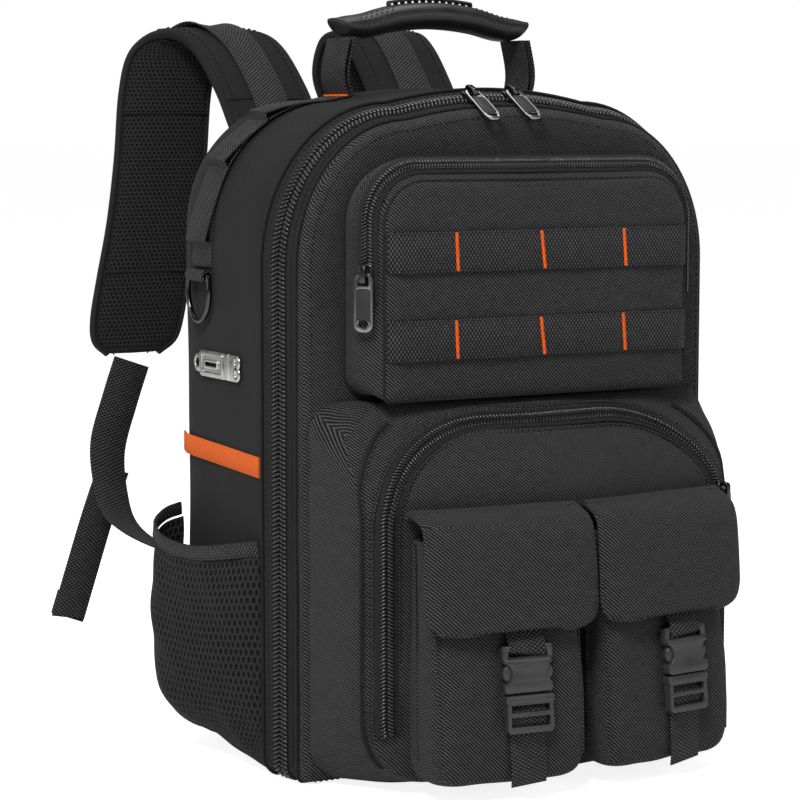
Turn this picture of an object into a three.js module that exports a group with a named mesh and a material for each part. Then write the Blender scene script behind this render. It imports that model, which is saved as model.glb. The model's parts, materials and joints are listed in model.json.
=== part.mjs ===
// Tool backpack, millimetres, +Z up, -Y is the front, origin in the middle of the flat bottom.
import * as THREE from 'three';

// Driving dimensions
const GAP = 0.4; // clearance between pieces that rest on each other
const CLOTH = 2.4; // wall of a pocket
const PADDED = 4; // padded wall of the main compartment
const WEBBING = 1.6; // thickness of woven webbing
const NARROW = 25; // width of narrow webbing
const MOLLE = 26.5; // height of the webbing rows on the upper pocket

const BODY = {
  half: 171, low: 0, high: 457, cornerX: 93, cornerZ: 108, foot: 16, crown: 9,
  backCornerX: 78, backCornerZ: 88, backFoot: 34, baseInset: 0.12, back: 92, backRound: 14, tape: -43, zipBack: -50, zipFront: -64, seam: -71, seamInset: 11,
  face: -80, faceInset: 20,
};
const LOWER = {
  half: 150, low: 2, high: 253, cornerX: 44, cornerZ: 44, foot: 52,
  edge: -122, edgeInset: 4, front: -138, ridge: 17, lean: 40, leanFrom: 192,
};
const UPPER = {
  half: 130, low: LOWER.high + 4.5, high: BODY.high - 47, cornerX: 42, cornerZ: 42, foot: 16,
  seamInset: 12.5, zip: -98, seam: -113, face: -117,
};
const LOWER_ZIP = { half: 129, high: 241, low: 18, cornerX: 86, cornerZ: 62, tape: 9.9 };
const POUCH = {
  centre: 61.3, half: 54.5, floor: 12, waist: 45, rim: 170, shallow: 24, deep: 37, corner: 15,
};
const FLAP = { half: 59.4, hem: 114, hinge: 183, rise: 4, proud: 10, thick: 3, corner: 19 };
const BUCKLE = { width: 35, socket: 31, plug: 25, thick: 9, top: 104, slot: 4, left: 6, right: 7 };
const HANDLE = {
  reach: 72, y: 32, legWidth: 36, legThick: 2.6, underside: BODY.high + 32, gripHalf: 78, gripDepth: 30, gripHeight: 19,
};
const STRAP = { pad: 72, thick: 11, depth: 135, webbing: 29, tail: 26 };
const BACK_PANEL = { half: 132, low: 34, high: BODY.high - 37, thick: 9, corner: 60 };
const MESH = { thick: 1.5, binding: 10, bindingThick: 2.6, bulge: 31, low: 12, rim: 150, dip: 19 };
const D_RING = { width: 38, height: 35, wire: 3.8, z: BODY.high - 126, y: 43 };
const DAISY = { width: 31, start: 6 };
const ELASTIC = { height: 14, z: 210, thick: 1.6 };
const CLIP = { length: 73, height: 18, thick: 2.4, z: 271, y: 20 };
const SLIDER = {
  length: 12, width: 5.5, plate: 2.4, opening: 3.4, bridge: 1.7, gate: 7,
  mainLeft: -20, mainRight: 12, upper: UPPER.high - 72, lower: LOWER.high - 69,
};
const MOLLE_ROW = { upper: UPPER.high - 58.5, lower: UPPER.low + 37 };
const PULL = { length: 38, width: 13, thick: 2.2, bar: 2.2, eyeWidth: 7.5, eyeLength: 6 };

// Points along one half of an outline: base, lower corner, side, upper corner, top
const SPLIT = { baseCount: 2, footCount: 3, sideCount: 4, cornerCount: 6, crownCount: 2 };
const HALF_RING = Object.values(SPLIT).reduce((sum, count) => sum + count, 0);
const RING = 2 * HALF_RING;

const finish = {
  twill: material(0x232326, 0.85, 0),
  plain: material(0x2a2a2d, 0.8, 0),
  webbing: material(0x1c1c1e, 0.75, 0),
  mesh: material(0x151517, 0.9, 0),
  zip: material(0x111113, 0.45, 0),
  plastic: material(0x1a1a1c, 0.4, 0),
  rubber: material(0x19191b, 0.6, 0),
  orange: material(0xf0641e, 0.7, 0),
  steel: material(0xc9c9c6, 0.25, 1),
  gunmetal: material(0x55565a, 0.25, 1),
};

function material(color, roughness, metalness) {
  return new THREE.MeshStandardMaterial({ color, roughness, metalness });
}

const vec = (x, y, z) => new THREE.Vector3(x, y, z);
const mix = (a, b, t) => a + (b - a) * t;

// Closed body through rings of equal count. The ends are a loop back to the first ring, strips
// across the first and last rings, or fans to two given centres.
function loft(rings, ends = 'strip') {
  const count = rings[0].length;
  const points = rings.flat();
  const faces = [];
  const last = ends === 'loop' ? rings.length : rings.length - 1;
  for (let r = 0; r < last; r += 1) {
    const here = r * count;
    const next = ((r + 1) % rings.length) * count;
    for (let i = 0; i < count; i += 1) {
      const j = (i + 1) % count;
      faces.push([here + i, here + j, next + j], [here + i, next + j, next + i]);
    }
  }
  const top = (rings.length - 1) * count;
  if (ends === 'strip') {
    for (let i = 0; i < count / 2 - 1; i += 1) {
      const a = i;
      const b = i + 1;
      const c = count - 2 - i;
      const d = count - 1 - i;
      faces.push([a, c, b], [a, d, c]);
      faces.push([top + a, top + b, top + c], [top + a, top + c, top + d]);
    }
  } else if (ends !== 'loop') {
    const first = points.push(ends[0]) - 1;
    const final = points.push(ends[1]) - 1;
    for (let i = 0; i < count; i += 1) {
      const j = (i + 1) % count;
      faces.push([first, j, i], [final, top + i, top + j]);
    }
  }
  return solid(points, faces.filter(([a, b, c]) => a !== b && b !== c && a !== c));
}

// Indexed geometry with its faces turned outwards
function solid(points, faces) {
  let volume = 0;
  for (const [a, b, c] of faces) {
    volume += points[a].dot(points[b].clone().cross(points[c]));
  }
  const geometry = new THREE.BufferGeometry();
  geometry.setAttribute('position', new THREE.Float32BufferAttribute(points.flatMap((p) => p.toArray()), 3));
  geometry.setIndex(faces.flatMap(([a, b, c]) => (volume > 0 ? [a, b, c] : [a, c, b])));
  geometry.computeVertexNormals();
  return geometry;
}

// Rounded outline from the middle of the base round the right side to the middle of the top, and back
function outline({ half, low, high, cornerX, cornerZ, foot, crown = 0 }) {
  const points = [];
  const shoulder = half - cornerX;
  const eaves = high - crown;
  for (let i = 0; i <= SPLIT.baseCount; i += 1) points.push([((half - foot) * i) / SPLIT.baseCount, low]);
  for (let i = 1; i <= SPLIT.footCount; i += 1) {
    const turn = (Math.PI / 2) * (i / SPLIT.footCount);
    points.push([half - foot + foot * Math.sin(turn), low + foot - foot * Math.cos(turn)]);
  }
  for (let i = 1; i <= SPLIT.sideCount; i += 1) {
    points.push([half, mix(low + foot, eaves - cornerZ, i / SPLIT.sideCount)]);
  }
  for (let i = 1; i <= SPLIT.cornerCount; i += 1) {
    const turn = (Math.PI / 2) * (i / SPLIT.cornerCount);
    points.push([shoulder + cornerX * Math.cos(turn), eaves - cornerZ + cornerZ * Math.sin(turn)]);
  }
  for (let i = 1; i <= SPLIT.crownCount; i += 1) {
    const x = shoulder * (1 - i / SPLIT.crownCount);
    points.push([x, high - crown * (x / shoulder) ** 2]);
  }
  const left = points.slice(1, -1).reverse().map(([x, z]) => [-x, z]);
  return [...points, ...left];
}

// The same outline moved inwards by d, or outwards where d is negative
function inset(shape, d) {
  return {
    ...shape,
    half: shape.half - d,
    low: shape.low + d,
    high: shape.high - d,
    cornerX: Math.max(shape.cornerX - d, 1),
    cornerZ: Math.max(shape.cornerZ - d, 1),
    foot: Math.max(shape.foot - d, 1),
  };
}

// The same outline drawn towards its middle by a share k
function shrink(shape, k) {
  const middle = (shape.low + shape.high) / 2;
  return {
    ...shape,
    half: shape.half * k,
    low: mix(middle, shape.low, k),
    high: mix(middle, shape.high, k),
    cornerX: shape.cornerX * k,
    cornerZ: shape.cornerZ * k,
    foot: shape.foot * k,
    crown: (shape.crown ?? 0) * k,
  };
}

// Inner face of a wall: each row of the outer face moved by the wall along the profile's normal
function lining(rows, wall) {
  const run = Math.sign(rows[rows.length - 1].level - rows[0].level);
  return rows.map((row, i) => {
    const before = rows[Math.max(i - 1, 0)];
    const after = rows[Math.min(i + 1, rows.length - 1)];
    const across = after.half - before.half;
    const along = after.level - before.level;
    const length = Math.hypot(across, along);
    const inwards = (run * along * wall) / length;
    return { ...inset(row, inwards), level: row.level + (run * across * wall) / length };
  });
}

const upright = (row) => outline(row).map(([x, z]) => vec(x, row.level, z));

// Bag wall open along its last row or its first row, closed over the other end
function bag(rows, wall, { ring = upright, warp = (p) => p, openAt = 'last' } = {}) {
  const inner = lining(rows, wall);
  const outer = openAt === 'last' ? rows : [...rows].reverse();
  const inside = openAt === 'last' ? [...inner].reverse() : inner;
  const rings = [...outer, ...inside].map((row) => ring(row).map(warp));
  const centres = [outer[0], inside[inside.length - 1]].map((row) => {
    const points = ring(row);
    const middle = points[0].clone().add(points[points.length / 2]).multiplyScalar(0.5);
    return warp(middle);
  });
  return loft(rings, centres);
}

// Flat strip with a raised chain, laid along the facets between two rows of a wall
function zipOn(rowA, rowB, { from, to, first, last, warp = (p) => p, lift = GAP, tape = 0.8, chain = 2 }) {
  const a = upright(rowA).map(warp);
  const b = upright(rowB).map(warp);
  const shares = [from, mix(from, to, 0.32), mix(from, to, 0.4), mix(from, to, 0.6), mix(from, to, 0.68), to];
  const heights = [tape, tape, chain, chain, tape, tape];
  const rings = [];
  for (let k = first; k <= last; k += 1) {
    const i = k % RING;
    const along = a[(i + 1) % RING].clone().sub(a[(i + RING - 1) % RING]);
    const across = b[i].clone().sub(a[i]);
    const normal = along.cross(across).normalize();
    const place = (share, height) => a[i].clone().addScaledVector(across, share).addScaledVector(normal, height);
    const upper = shares.map((share, n) => place(share, lift + heights[n]));
    const lower = shares.map((share) => place(share, lift)).reverse();
    rings.push([...upper, ...lower]);
  }
  return loft(rings);
}

// Strip of one section through stations, each with a place, a direction across and its own size
function ribbon(stations, { round = 0 } = {}) {
  const rings = stations.map((station, i) => {
    const before = stations[Math.max(i - 1, 0)].at;
    const after = stations[Math.min(i + 1, stations.length - 1)].at;
    const tangent = after.clone().sub(before).normalize();
    const across = station.across.clone().normalize();
    const normal = across.clone().cross(tangent).normalize();
    const w = station.width / 2;
    const t = station.thick / 2;
    const section = round > 0
      ? [[-w, t * 0.35], [-w + round, t], [w - round, t], [w, t * 0.35],
        [w, -t * 0.35], [w - round, -t], [-w + round, -t], [-w, -t * 0.35]]
      : [[-w, t], [w, t], [w, -t], [-w, -t]];
    return section.map(([u, v]) => station.at.clone().addScaledVector(across, u).addScaledVector(normal, v));
  });
  return loft(rings);
}

// Sheet through a grid of points, thickened away from a given point
function sheet(grid, thick, away) {
  const rows = grid.length;
  const normalAt = (r, c) => {
    const row = grid[r];
    const along = row[Math.min(c + 1, row.length - 1)].clone().sub(row[Math.max(c - 1, 0)]);
    const down = grid[Math.min(r + 1, rows - 1)][c].clone().sub(grid[Math.max(r - 1, 0)][c]);
    const normal = along.cross(down).normalize();
    return normal.dot(row[c].clone().sub(away)) > 0 ? normal : normal.negate();
  };
  const rings = grid.map((row, r) => {
    const outer = row.map((p, c) => p.clone().addScaledVector(normalAt(r, c), thick)).reverse();
    return [...row, ...outer];
  });
  return loft(rings);
}

// Closed ring of round wire along a loop of points in a plane with the given normal
function wireLoop(path, wire, normal, sides = 6) {
  const rings = path.map((point, i) => {
    const before = path[(i + path.length - 1) % path.length];
    const after = path[(i + 1) % path.length];
    const tangent = after.clone().sub(before).normalize();
    const out = normal.clone().cross(tangent).normalize();
    return Array.from({ length: sides }, (_, k) => {
      const turn = (2 * Math.PI * k) / sides;
      return point.clone()
        .addScaledVector(out, (wire / 2) * Math.cos(turn))
        .addScaledVector(normal, (wire / 2) * Math.sin(turn));
    });
  });
  return loft(rings, 'loop');
}

// Flat plate with holes, its thickness centred on the outline's plane
function plate(shape, thick) {
  const geometry = new THREE.ExtrudeGeometry(shape, { depth: thick, bevelEnabled: false, curveSegments: 3 });
  geometry.translate(0, 0, -thick / 2);
  return geometry;
}

function roundedRect(width, height, radius, centreX = 0, centreY = 0, Kind = THREE.Shape) {
  const shape = new Kind();
  const x = centreX - width / 2;
  const y = centreY - height / 2;
  shape.moveTo(x + radius, y);
  shape.lineTo(x + width - radius, y);
  shape.quadraticCurveTo(x + width, y, x + width, y + radius);
  shape.lineTo(x + width, y + height - radius);
  shape.quadraticCurveTo(x + width, y + height, x + width - radius, y + height);
  shape.lineTo(x + radius, y + height);
  shape.quadraticCurveTo(x, y + height, x, y + height - radius);
  shape.lineTo(x, y + radius);
  shape.quadraticCurveTo(x, y, x + radius, y);
  return shape;
}

const group = new THREE.Group();

function add(name, geometry, look) {
  const mesh = new THREE.Mesh(geometry, look);
  mesh.name = name;
  group.add(mesh);
  return mesh;
}

// Main compartment: a back shell and a front shell with the zipper between their rims
const BAND = BODY.tape - BODY.seam;
const bandInset = (y) => (BODY.seamInset * (BODY.tape - y)) / BAND;
const STRAIGHT = BODY.back - BODY.backRound * 1.9; // behind this depth the back edge rounds off

// Body outline at the depth y, moved inwards by d; its upper corners are tighter towards the back
function bodyRow(d, y) {
  const share = Math.max(0, Math.min(1, (y - BODY.tape) / (STRAIGHT - BODY.tape)));
  const shape = {
    ...BODY,
    cornerX: mix(BODY.cornerX, BODY.backCornerX, share),
    cornerZ: mix(BODY.cornerZ, BODY.backCornerZ, share),
    foot: mix(BODY.foot, BODY.backFoot, share),
  };
  return { ...inset(shape, d), low: BODY.low + d * BODY.baseInset, level: y };
}

function mainCompartment() {
  const { back, backRound: round } = BODY;
  const backRows = [
    bodyRow(round * 2, back),
    bodyRow(round * 0.85, back - round * 0.14),
    bodyRow(round * 0.25, back - round * 0.7),
    bodyRow(0, STRAIGHT),
    bodyRow(0, BODY.tape),
    bodyRow(bandInset(BODY.zipBack), BODY.zipBack),
  ];
  add('back_shell', bag(backRows, PADDED), finish.plain);
  const frontRows = [
    bodyRow(bandInset(BODY.zipFront), BODY.zipFront),
    bodyRow(BODY.seamInset, BODY.seam),
    bodyRow(mix(BODY.seamInset, BODY.faceInset, 0.45), mix(BODY.seam, BODY.face, 0.78)),
    bodyRow(BODY.faceInset, BODY.face),
    shrink(bodyRow(BODY.faceInset, BODY.face), 0.5),
  ];
  add('front_shell', bag(frontRows, PADDED, { openAt: 'first' }), finish.twill);
  const edge = GAP;
  const outside = [
    [BODY.zipBack - edge, 1.2], [mix(BODY.zipBack, BODY.zipFront, 0.3), 1.2],
    [mix(BODY.zipBack, BODY.zipFront, 0.34), -0.4], [mix(BODY.zipBack, BODY.zipFront, 0.66), -0.4],
    [mix(BODY.zipBack, BODY.zipFront, 0.7), 1.2], [BODY.zipFront + edge, 1.2],
  ];
  const band = [...outside, [BODY.zipFront + edge, 2.4], [BODY.zipBack - edge, 2.4]];
  const slope = Math.atan2(BODY.seamInset, BAND);
  const rings = band.map(([y, depth]) => upright({
    ...inset(bodyRow(bandInset(y), y), depth * Math.cos(slope)), level: y + depth * Math.sin(slope),
  }));
  add('main_zipper', loft(rings, 'loop'), finish.zip);
}

// Upper pocket with its zipper on the sloping gusset and two rows of webbing on the face
function upperPocket() {
  const seam = { ...inset(UPPER, UPPER.seamInset), low: UPPER.low - 2, level: UPPER.seam };
  const rows = [
    { ...UPPER, level: BODY.face - GAP },
    { ...inset(UPPER, 1), high: UPPER.high + 3, level: UPPER.zip },
    seam,
    { ...inset(seam, 9), level: UPPER.face },
    { ...shrink(inset(seam, 9), 0.5), level: UPPER.face },
  ];
  add('upper_pocket', bag(rows, CLOTH, { openAt: 'first' }), finish.twill);
  const sideStart = SPLIT.baseCount + SPLIT.footCount + 2;
  add('upper_zipper', zipOn(rows[1], rows[2], {
    from: 0.08, to: 0.72, first: sideStart, last: RING - sideStart,
  }), finish.zip);
  const faceHalf = inset(seam, 9).half;
  for (const [place, z] of Object.entries(MOLLE_ROW)) {
    const lift = GAP + WEBBING / 2;
    const run = [
      [-seam.half + 1.5, mix(UPPER.seam, UPPER.face, 1.5 / 9)], [-faceHalf, UPPER.face],
      [faceHalf, UPPER.face], [seam.half - 1.5, mix(UPPER.seam, UPPER.face, 1.5 / 9)],
    ];
    const stations = run.map(([x, y]) => ({
      at: vec(x, y - lift, z), across: vec(0, 0, 1), width: MOLLE, thick: WEBBING,
    }));
    add(`molle_row_${place}`, ribbon(stations), finish.webbing);
  }
}

// Lower compartment: its face is a low roof with the ridge in the middle, and its top leans back
function roof(point) {
  const forward = Math.max(0, Math.min(1, (BODY.face - point.y) / (BODY.face - LOWER.front)));
  const ridge = LOWER.ridge * (1 - Math.abs(point.x) / LOWER.half);
  const above = Math.max(0, (point.z - LOWER.leanFrom) / (LOWER.high - LOWER.leanFrom));
  const lean = LOWER.lean * above ** 1.5;
  return vec(point.x, point.y + forward * (lean - ridge), point.z);
}

// Edges of the zipper's field on the face
const zipField = { ...LOWER, ...LOWER_ZIP, foot: LOWER.foot * 0.6 };
const zipOuter = {
  ...inset(zipField, -LOWER_ZIP.tape), high: LOWER_ZIP.high + 7, level: mix(LOWER.edge, LOWER.front, 0.65),
};
const zipInner = { ...inset(zipField, LOWER_ZIP.tape), level: LOWER.front };

function lowerCompartment() {
  const rows = [
    { ...inset(LOWER, 8), low: LOWER.low, high: LOWER.high - 2, level: BODY.face - GAP },
    { ...inset(LOWER, 1), low: LOWER.low, high: LOWER.high - 1, level: BODY.face - 9 },
    { ...inset(LOWER, LOWER.edgeInset), high: LOWER.high, level: LOWER.edge },
    zipOuter,
    zipInner,
    shrink(zipInner, 0.5),
  ];
  add('lower_compartment', bag(rows, CLOTH, { openAt: 'first', warp: roof }), finish.twill);
  const footEnd = SPLIT.baseCount + SPLIT.footCount;
  add('lower_zipper', zipOn(zipOuter, zipInner, {
    from: 0.15, to: 0.8, first: footEnd, last: RING - footEnd, warp: roof,
  }), finish.zip);
}

// Pouch body in plan: x across, depth forwards from the compartment's face, level upwards
function pouchPlace(side) {
  return (x, depth, z) => {
    const across = side * POUCH.centre + x;
    return vec(across, roof(vec(across, LOWER.front, z)).y - depth, z);
  };
}

const pouchDepth = (z) => mix(POUCH.deep, POUCH.shallow, Math.max(0, z - POUCH.waist) / (POUCH.rim - POUCH.waist));

function pouch(name, side) {
  const place = pouchPlace(side);
  const ring = (row) => outline(row).map(([x, depth]) => place(x, depth, row.level));
  const plan = (z, d) => ({
    half: POUCH.half - d, low: GAP + 0.2 + Math.min(d, 2), high: pouchDepth(z) - d,
    cornerX: POUCH.corner, cornerZ: POUCH.corner, foot: 1.5, level: z,
  });
  const levels = [[POUCH.floor, 14], [POUCH.floor + 3, 5], [POUCH.floor + 12, 0.5], [POUCH.floor + 45, 0],
    [POUCH.floor + 95, 0], [POUCH.rim, 1.5]];
  const rows = levels.map(([z, d]) => plan(z, d));
  add(name, bag(rows, CLOTH, { ring }), finish.twill);
}

// Flap over a pouch: hinged on the compartment's face, then down over the front
function flap(name, side) {
  const place = pouchPlace(side);
  const front = (z) => pouchDepth(z) + FLAP.proud;
  const high = mix(FLAP.hem, FLAP.hinge, 0.61);
  const middle = mix(FLAP.hem, FLAP.hinge, 0.29);
  const path = [
    { depth: GAP + FLAP.thick * 0.75, z: FLAP.hinge, half: FLAP.half - 1 },
    { depth: 8, z: FLAP.hinge + FLAP.rise, half: FLAP.half - 0.5 },
    { depth: POUCH.shallow * 0.72, z: FLAP.hinge + FLAP.rise * 0.3, half: FLAP.half },
    { depth: front(FLAP.hinge) + 1, z: FLAP.hinge - 10, half: FLAP.half },
    { depth: front(high) + 1.5, z: high, half: FLAP.half + 0.5 },
    { depth: front(middle) + 1, z: middle, half: FLAP.half + 1 },
    { depth: front(FLAP.hem + FLAP.corner), z: FLAP.hem + FLAP.corner * 0.8, half: FLAP.half },
    { depth: front(FLAP.hem + 5), z: FLAP.hem + FLAP.corner * 0.25, half: FLAP.half - FLAP.corner * 0.35 },
    { depth: front(FLAP.hem), z: FLAP.hem, half: FLAP.half - FLAP.corner },
  ];
  const columns = [-1, -0.86, -0.55, 0, 0.55, 0.86, 1];
  const grid = path.map((row, r) => columns.map((share) => {
    const fall = r > 1 ? 5 * share ** 6 : 0;
    return place(row.half * share, row.depth - fall, row.z);
  }));
  add(name, sheet(grid, FLAP.thick, vec(side * POUCH.centre, LOWER.front, FLAP.hem)), finish.twill);
}

// Side-release buckle on its webbing, hung in front of a pouch
const TILT = Math.atan2(LOWER.ridge, LOWER.half);

function buckle(prefix, side, shift) {
  const place = pouchPlace(side);
  const turn = side * TILT;
  const lean = Math.atan2(POUCH.deep - POUCH.shallow, POUCH.rim - POUCH.waist);
  const webY = GAP + WEBBING / 2;
  const station = (z, extra = 0) => ({
    at: place(shift, pouchDepth(z) + webY + extra, z),
    across: vec(Math.cos(turn), Math.sin(turn), 0),
    width: NARROW,
    thick: WEBBING,
  });
  const tuck = BUCKLE.top - 8;
  add(`${prefix}_webbing`, ribbon([station(FLAP.hem + 22, 0), station(tuck, 0)]), finish.webbing);
  const end = BUCKLE.top - BUCKLE.socket - BUCKLE.plug + 8;
  add(`${prefix}_tail`, ribbon([
    station(end, 0), station(POUCH.floor + 28, 0), station(POUCH.floor + 14, 0.5), station(POUCH.floor, -2.5),
  ]), finish.webbing);
  const seat = (geometry, z, name) => {
    const mesh = add(name, geometry, finish.plastic);
    const centre = place(shift, pouchDepth(z) + 2 * GAP + WEBBING + BUCKLE.thick / 2, z);
    mesh.position.copy(centre);
    mesh.rotation.set(Math.PI / 2 - lean, 0, turn, 'ZYX');
  };
  const socket = roundedRect(BUCKLE.width, BUCKLE.socket, 5);
  socket.holes.push(roundedRect(NARROW + 2, BUCKLE.slot, 1, 0, BUCKLE.socket / 2 - 6, THREE.Path));
  for (const hand of [-1, 1]) {
    socket.holes.push(roundedRect(4, 12, 1.5, hand * (BUCKLE.width / 2 - 5), -4, THREE.Path));
  }
  seat(plate(socket, BUCKLE.thick), BUCKLE.top - BUCKLE.socket / 2, `${prefix}_socket`);
  const plug = roundedRect(BUCKLE.width - 3, BUCKLE.plug - GAP, 4);
  for (const level of [3.5, -4.5]) {
    plug.holes.push(roundedRect(NARROW + 1, BUCKLE.slot, 1, 0, level, THREE.Path));
  }
  seat(plate(plug, BUCKLE.thick * 0.75), BUCKLE.top - BUCKLE.socket - GAP - BUCKLE.plug / 2, `${prefix}_plug`);
}

// Mesh pocket on the left side, gathered by a binding along its top edge
const MESH_COLUMNS = [
  { along: 0.007, out: 0.02, rise: 0.47 }, { along: 0.067, out: 0.2, rise: 0.42 },
  { along: 0.215, out: 0.5, rise: 0.21 }, { along: 0.407, out: 0.73, rise: 0 },
  { along: 0.6, out: 0.93, rise: 0 }, { along: 0.763, out: 1, rise: 0.21 },
  { along: 0.881, out: 0.83, rise: 0.53 }, { along: 0.956, out: 0.37, rise: 0.84 },
  { along: 0.972, out: -0.08, rise: 1 },
];
const MESH_ROWS = [
  { up: 0, fill: 0.04 }, { up: 0.095, fill: 0.45 }, { up: 0.24, fill: 0.88 },
  { up: 0.48, fill: 1 }, { up: 0.76, fill: 1 }, { up: 1, fill: 0.88 },
];

// Mesh pocket: columns run from the zipper round the back edge, rows from the base to the rim
function meshPocket() {
  const topOf = (column) => MESH.rim + MESH.dip * column.rise;
  const point = (column, row) => {
    const out = MESH.bulge * column.out;
    const bulge = out > 0 ? Math.max(out * row.fill, Math.min(out, 1.5 * GAP)) : out;
    const y = mix(BODY.tape, BODY.back, column.along);
    const z = mix(MESH.low, topOf(column) - MESH.binding - GAP, row.up);
    const { foot } = bodyRow(0, y);
    const tuck = z < foot ? foot - Math.sqrt(foot ** 2 - (foot - z) ** 2) : 0;
    return vec(tuck - BODY.half - bulge, y, z);
  };
  const grid = MESH_ROWS.map((row) => MESH_COLUMNS.map((column) => point(column, row)));
  add('mesh_pocket', sheet(grid, MESH.thick, vec(0, 20, 80)), finish.mesh);
  const rim = MESH_ROWS[MESH_ROWS.length - 1];
  const stations = MESH_COLUMNS.map((column) => ({
    at: point(column, rim).setZ(topOf(column) - MESH.binding / 2).add(vec(-MESH.bindingThick / 2, 0, 0)),
    across: vec(0, 0, 1),
    width: MESH.binding,
    thick: MESH.bindingThick,
  }));
  add('mesh_binding', ribbon(stations), finish.webbing);
}

// Elastic band and metal clip on the left side
function sideFittings() {
  const out = GAP + ELASTIC.thick / 2;
  const run = [
    { y: BODY.tape + 2, d: 0, z: -2 }, { y: mix(BODY.tape, STRAIGHT, 0.5), d: 0, z: 0 }, { y: STRAIGHT, d: 0, z: 2 },
    { y: BODY.back - BODY.backRound * 0.7, d: BODY.backRound * 0.25, z: 3 },
  ];
  add('side_elastic', ribbon(run.map(({ y, d, z }) => ({
    at: vec(d - BODY.half - out, y + d * 0.15, ELASTIC.z + z),
    across: vec(0, 0, 1),
    width: ELASTIC.height,
    thick: ELASTIC.thick,
  }))), finish.orange);
  const shape = roundedRect(CLIP.length, CLIP.height, 5);
  shape.holes.push(roundedRect(26, 4, 1.5, 4, 0, THREE.Path));
  shape.holes.push(roundedRect(7, 7, 3, -CLIP.length / 2 + 8, 0, THREE.Path));
  const clip = add('tape_clip', plate(shape, CLIP.thick), finish.steel);
  clip.rotation.set(Math.PI / 2, 0, Math.PI / 2, 'ZYX');
  clip.position.set(-(BODY.half + GAP + CLIP.thick / 2), CLIP.y, CLIP.z);
}

// Daisy-chain webbing over the left shoulder to the D-ring
function daisyChain() {
  const first = RING / 2 + SPLIT.crownCount;
  const last = first + SPLIT.cornerCount;
  const sleeveRadius = D_RING.wire / 2 + 2.4;
  const end = D_RING.z + sleeveRadius + 3 * GAP;
  const stations = [];
  for (let k = first; k <= last; k += 1) {
    const y = mix(HANDLE.y, D_RING.y, (k - first) / (last - first));
    const ring = upright(bodyRow(-(GAP + WEBBING / 2), y + DAISY.width / 2)).map((p) => p.setY(y));
    const at = k === first ? ring[k].lerp(ring[k + 1], DAISY.start / ring[k].distanceTo(ring[k + 1])) : ring[k];
    stations.push({ at, across: vec(0, 1, 0), width: DAISY.width, thick: WEBBING });
  }
  const side = stations[stations.length - 1];
  stations.push({ ...side, at: side.at.clone().setZ(end) });
  add('daisy_chain', ribbon(stations), finish.webbing);
  const x = -(BODY.half + GAP + sleeveRadius);
  const sleeve = new THREE.Shape();
  sleeve.absarc(0, 0, sleeveRadius, 0, Math.PI * 2, false);
  const bore = new THREE.Path();
  bore.absarc(0, 0, D_RING.wire / 2 + GAP, 0, Math.PI * 2, true);
  sleeve.holes.push(bore);
  const loop = add('d_ring_loop', plate(sleeve, DAISY.width - 4), finish.webbing);
  loop.rotation.x = Math.PI / 2;
  loop.position.set(x, D_RING.y, D_RING.z);
  const half = D_RING.width / 2 - D_RING.wire / 2;
  const drop = D_RING.height - D_RING.wire;
  const arc = Array.from({ length: 9 }, (_, k) => {
    const turn = Math.PI * (k / 8);
    return vec(x, D_RING.y + half * Math.cos(turn), D_RING.z - drop * 0.3 - drop * 0.7 * Math.sin(turn));
  });
  const path = [vec(x, D_RING.y - half, D_RING.z), vec(x, D_RING.y, D_RING.z), vec(x, D_RING.y + half, D_RING.z), ...arc];
  add('d_ring', wireLoop(path, D_RING.wire, vec(1, 0, 0)), finish.gunmetal);
}

// Carrying handle: webbing legs from the top panel to a moulded grip
function topAt(x, y) {
  const { half, cornerX } = bodyRow(0, y);
  return BODY.high - BODY.crown * (x / (half - cornerX)) ** 2;
}

function handle() {
  for (const [name, side] of [['handle_leg_left', -1], ['handle_leg_right', 1]]) {
    const foot = topAt(HANDLE.reach, HANDLE.y) + GAP;
    const run = [[HANDLE.reach - 1, foot], [HANDLE.reach + 3, foot + 14], [HANDLE.reach - 2, HANDLE.underside + HANDLE.gripHeight * 0.258 - GAP]];
    add(name, ribbon(run.map(([x, z]) => ({
      at: vec(side * x, HANDLE.y, z), across: vec(0, 1, 0), width: HANDLE.legWidth, thick: HANDLE.legThick,
    }))), finish.webbing);
  }
  const half = [
    { along: 1, centre: 0.763, wide: 0.75, high: 0.3 }, { along: 0.88, centre: 0.605, wide: 1.1, high: 0.75 },
    { along: 0.7, centre: 0.632, wide: 1.05, high: 0.95 }, { along: 0.4, centre: 0.921, wide: 1, high: 1 },
  ];
  const rows = [
    ...half.map((row) => ({ ...row, along: -row.along })), { along: 0, centre: 1.053, wide: 1, high: 1 },
    ...[...half].reverse(),
  ];
  const sides = 12;
  const rings = rows.map((row) => Array.from({ length: sides }, (_, k) => {
    const turn = (2 * Math.PI * (k + 0.5)) / sides;
    const high = HANDLE.gripHeight * row.high;
    return vec(
      HANDLE.gripHalf * row.along,
      HANDLE.y + (HANDLE.gripDepth / 2) * row.wide * Math.cos(turn),
      HANDLE.underside + HANDLE.gripHeight * row.centre + (high / 2) * Math.sin(turn),
    );
  }));
  add('handle_grip', loft(rings), finish.rubber);
}

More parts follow.
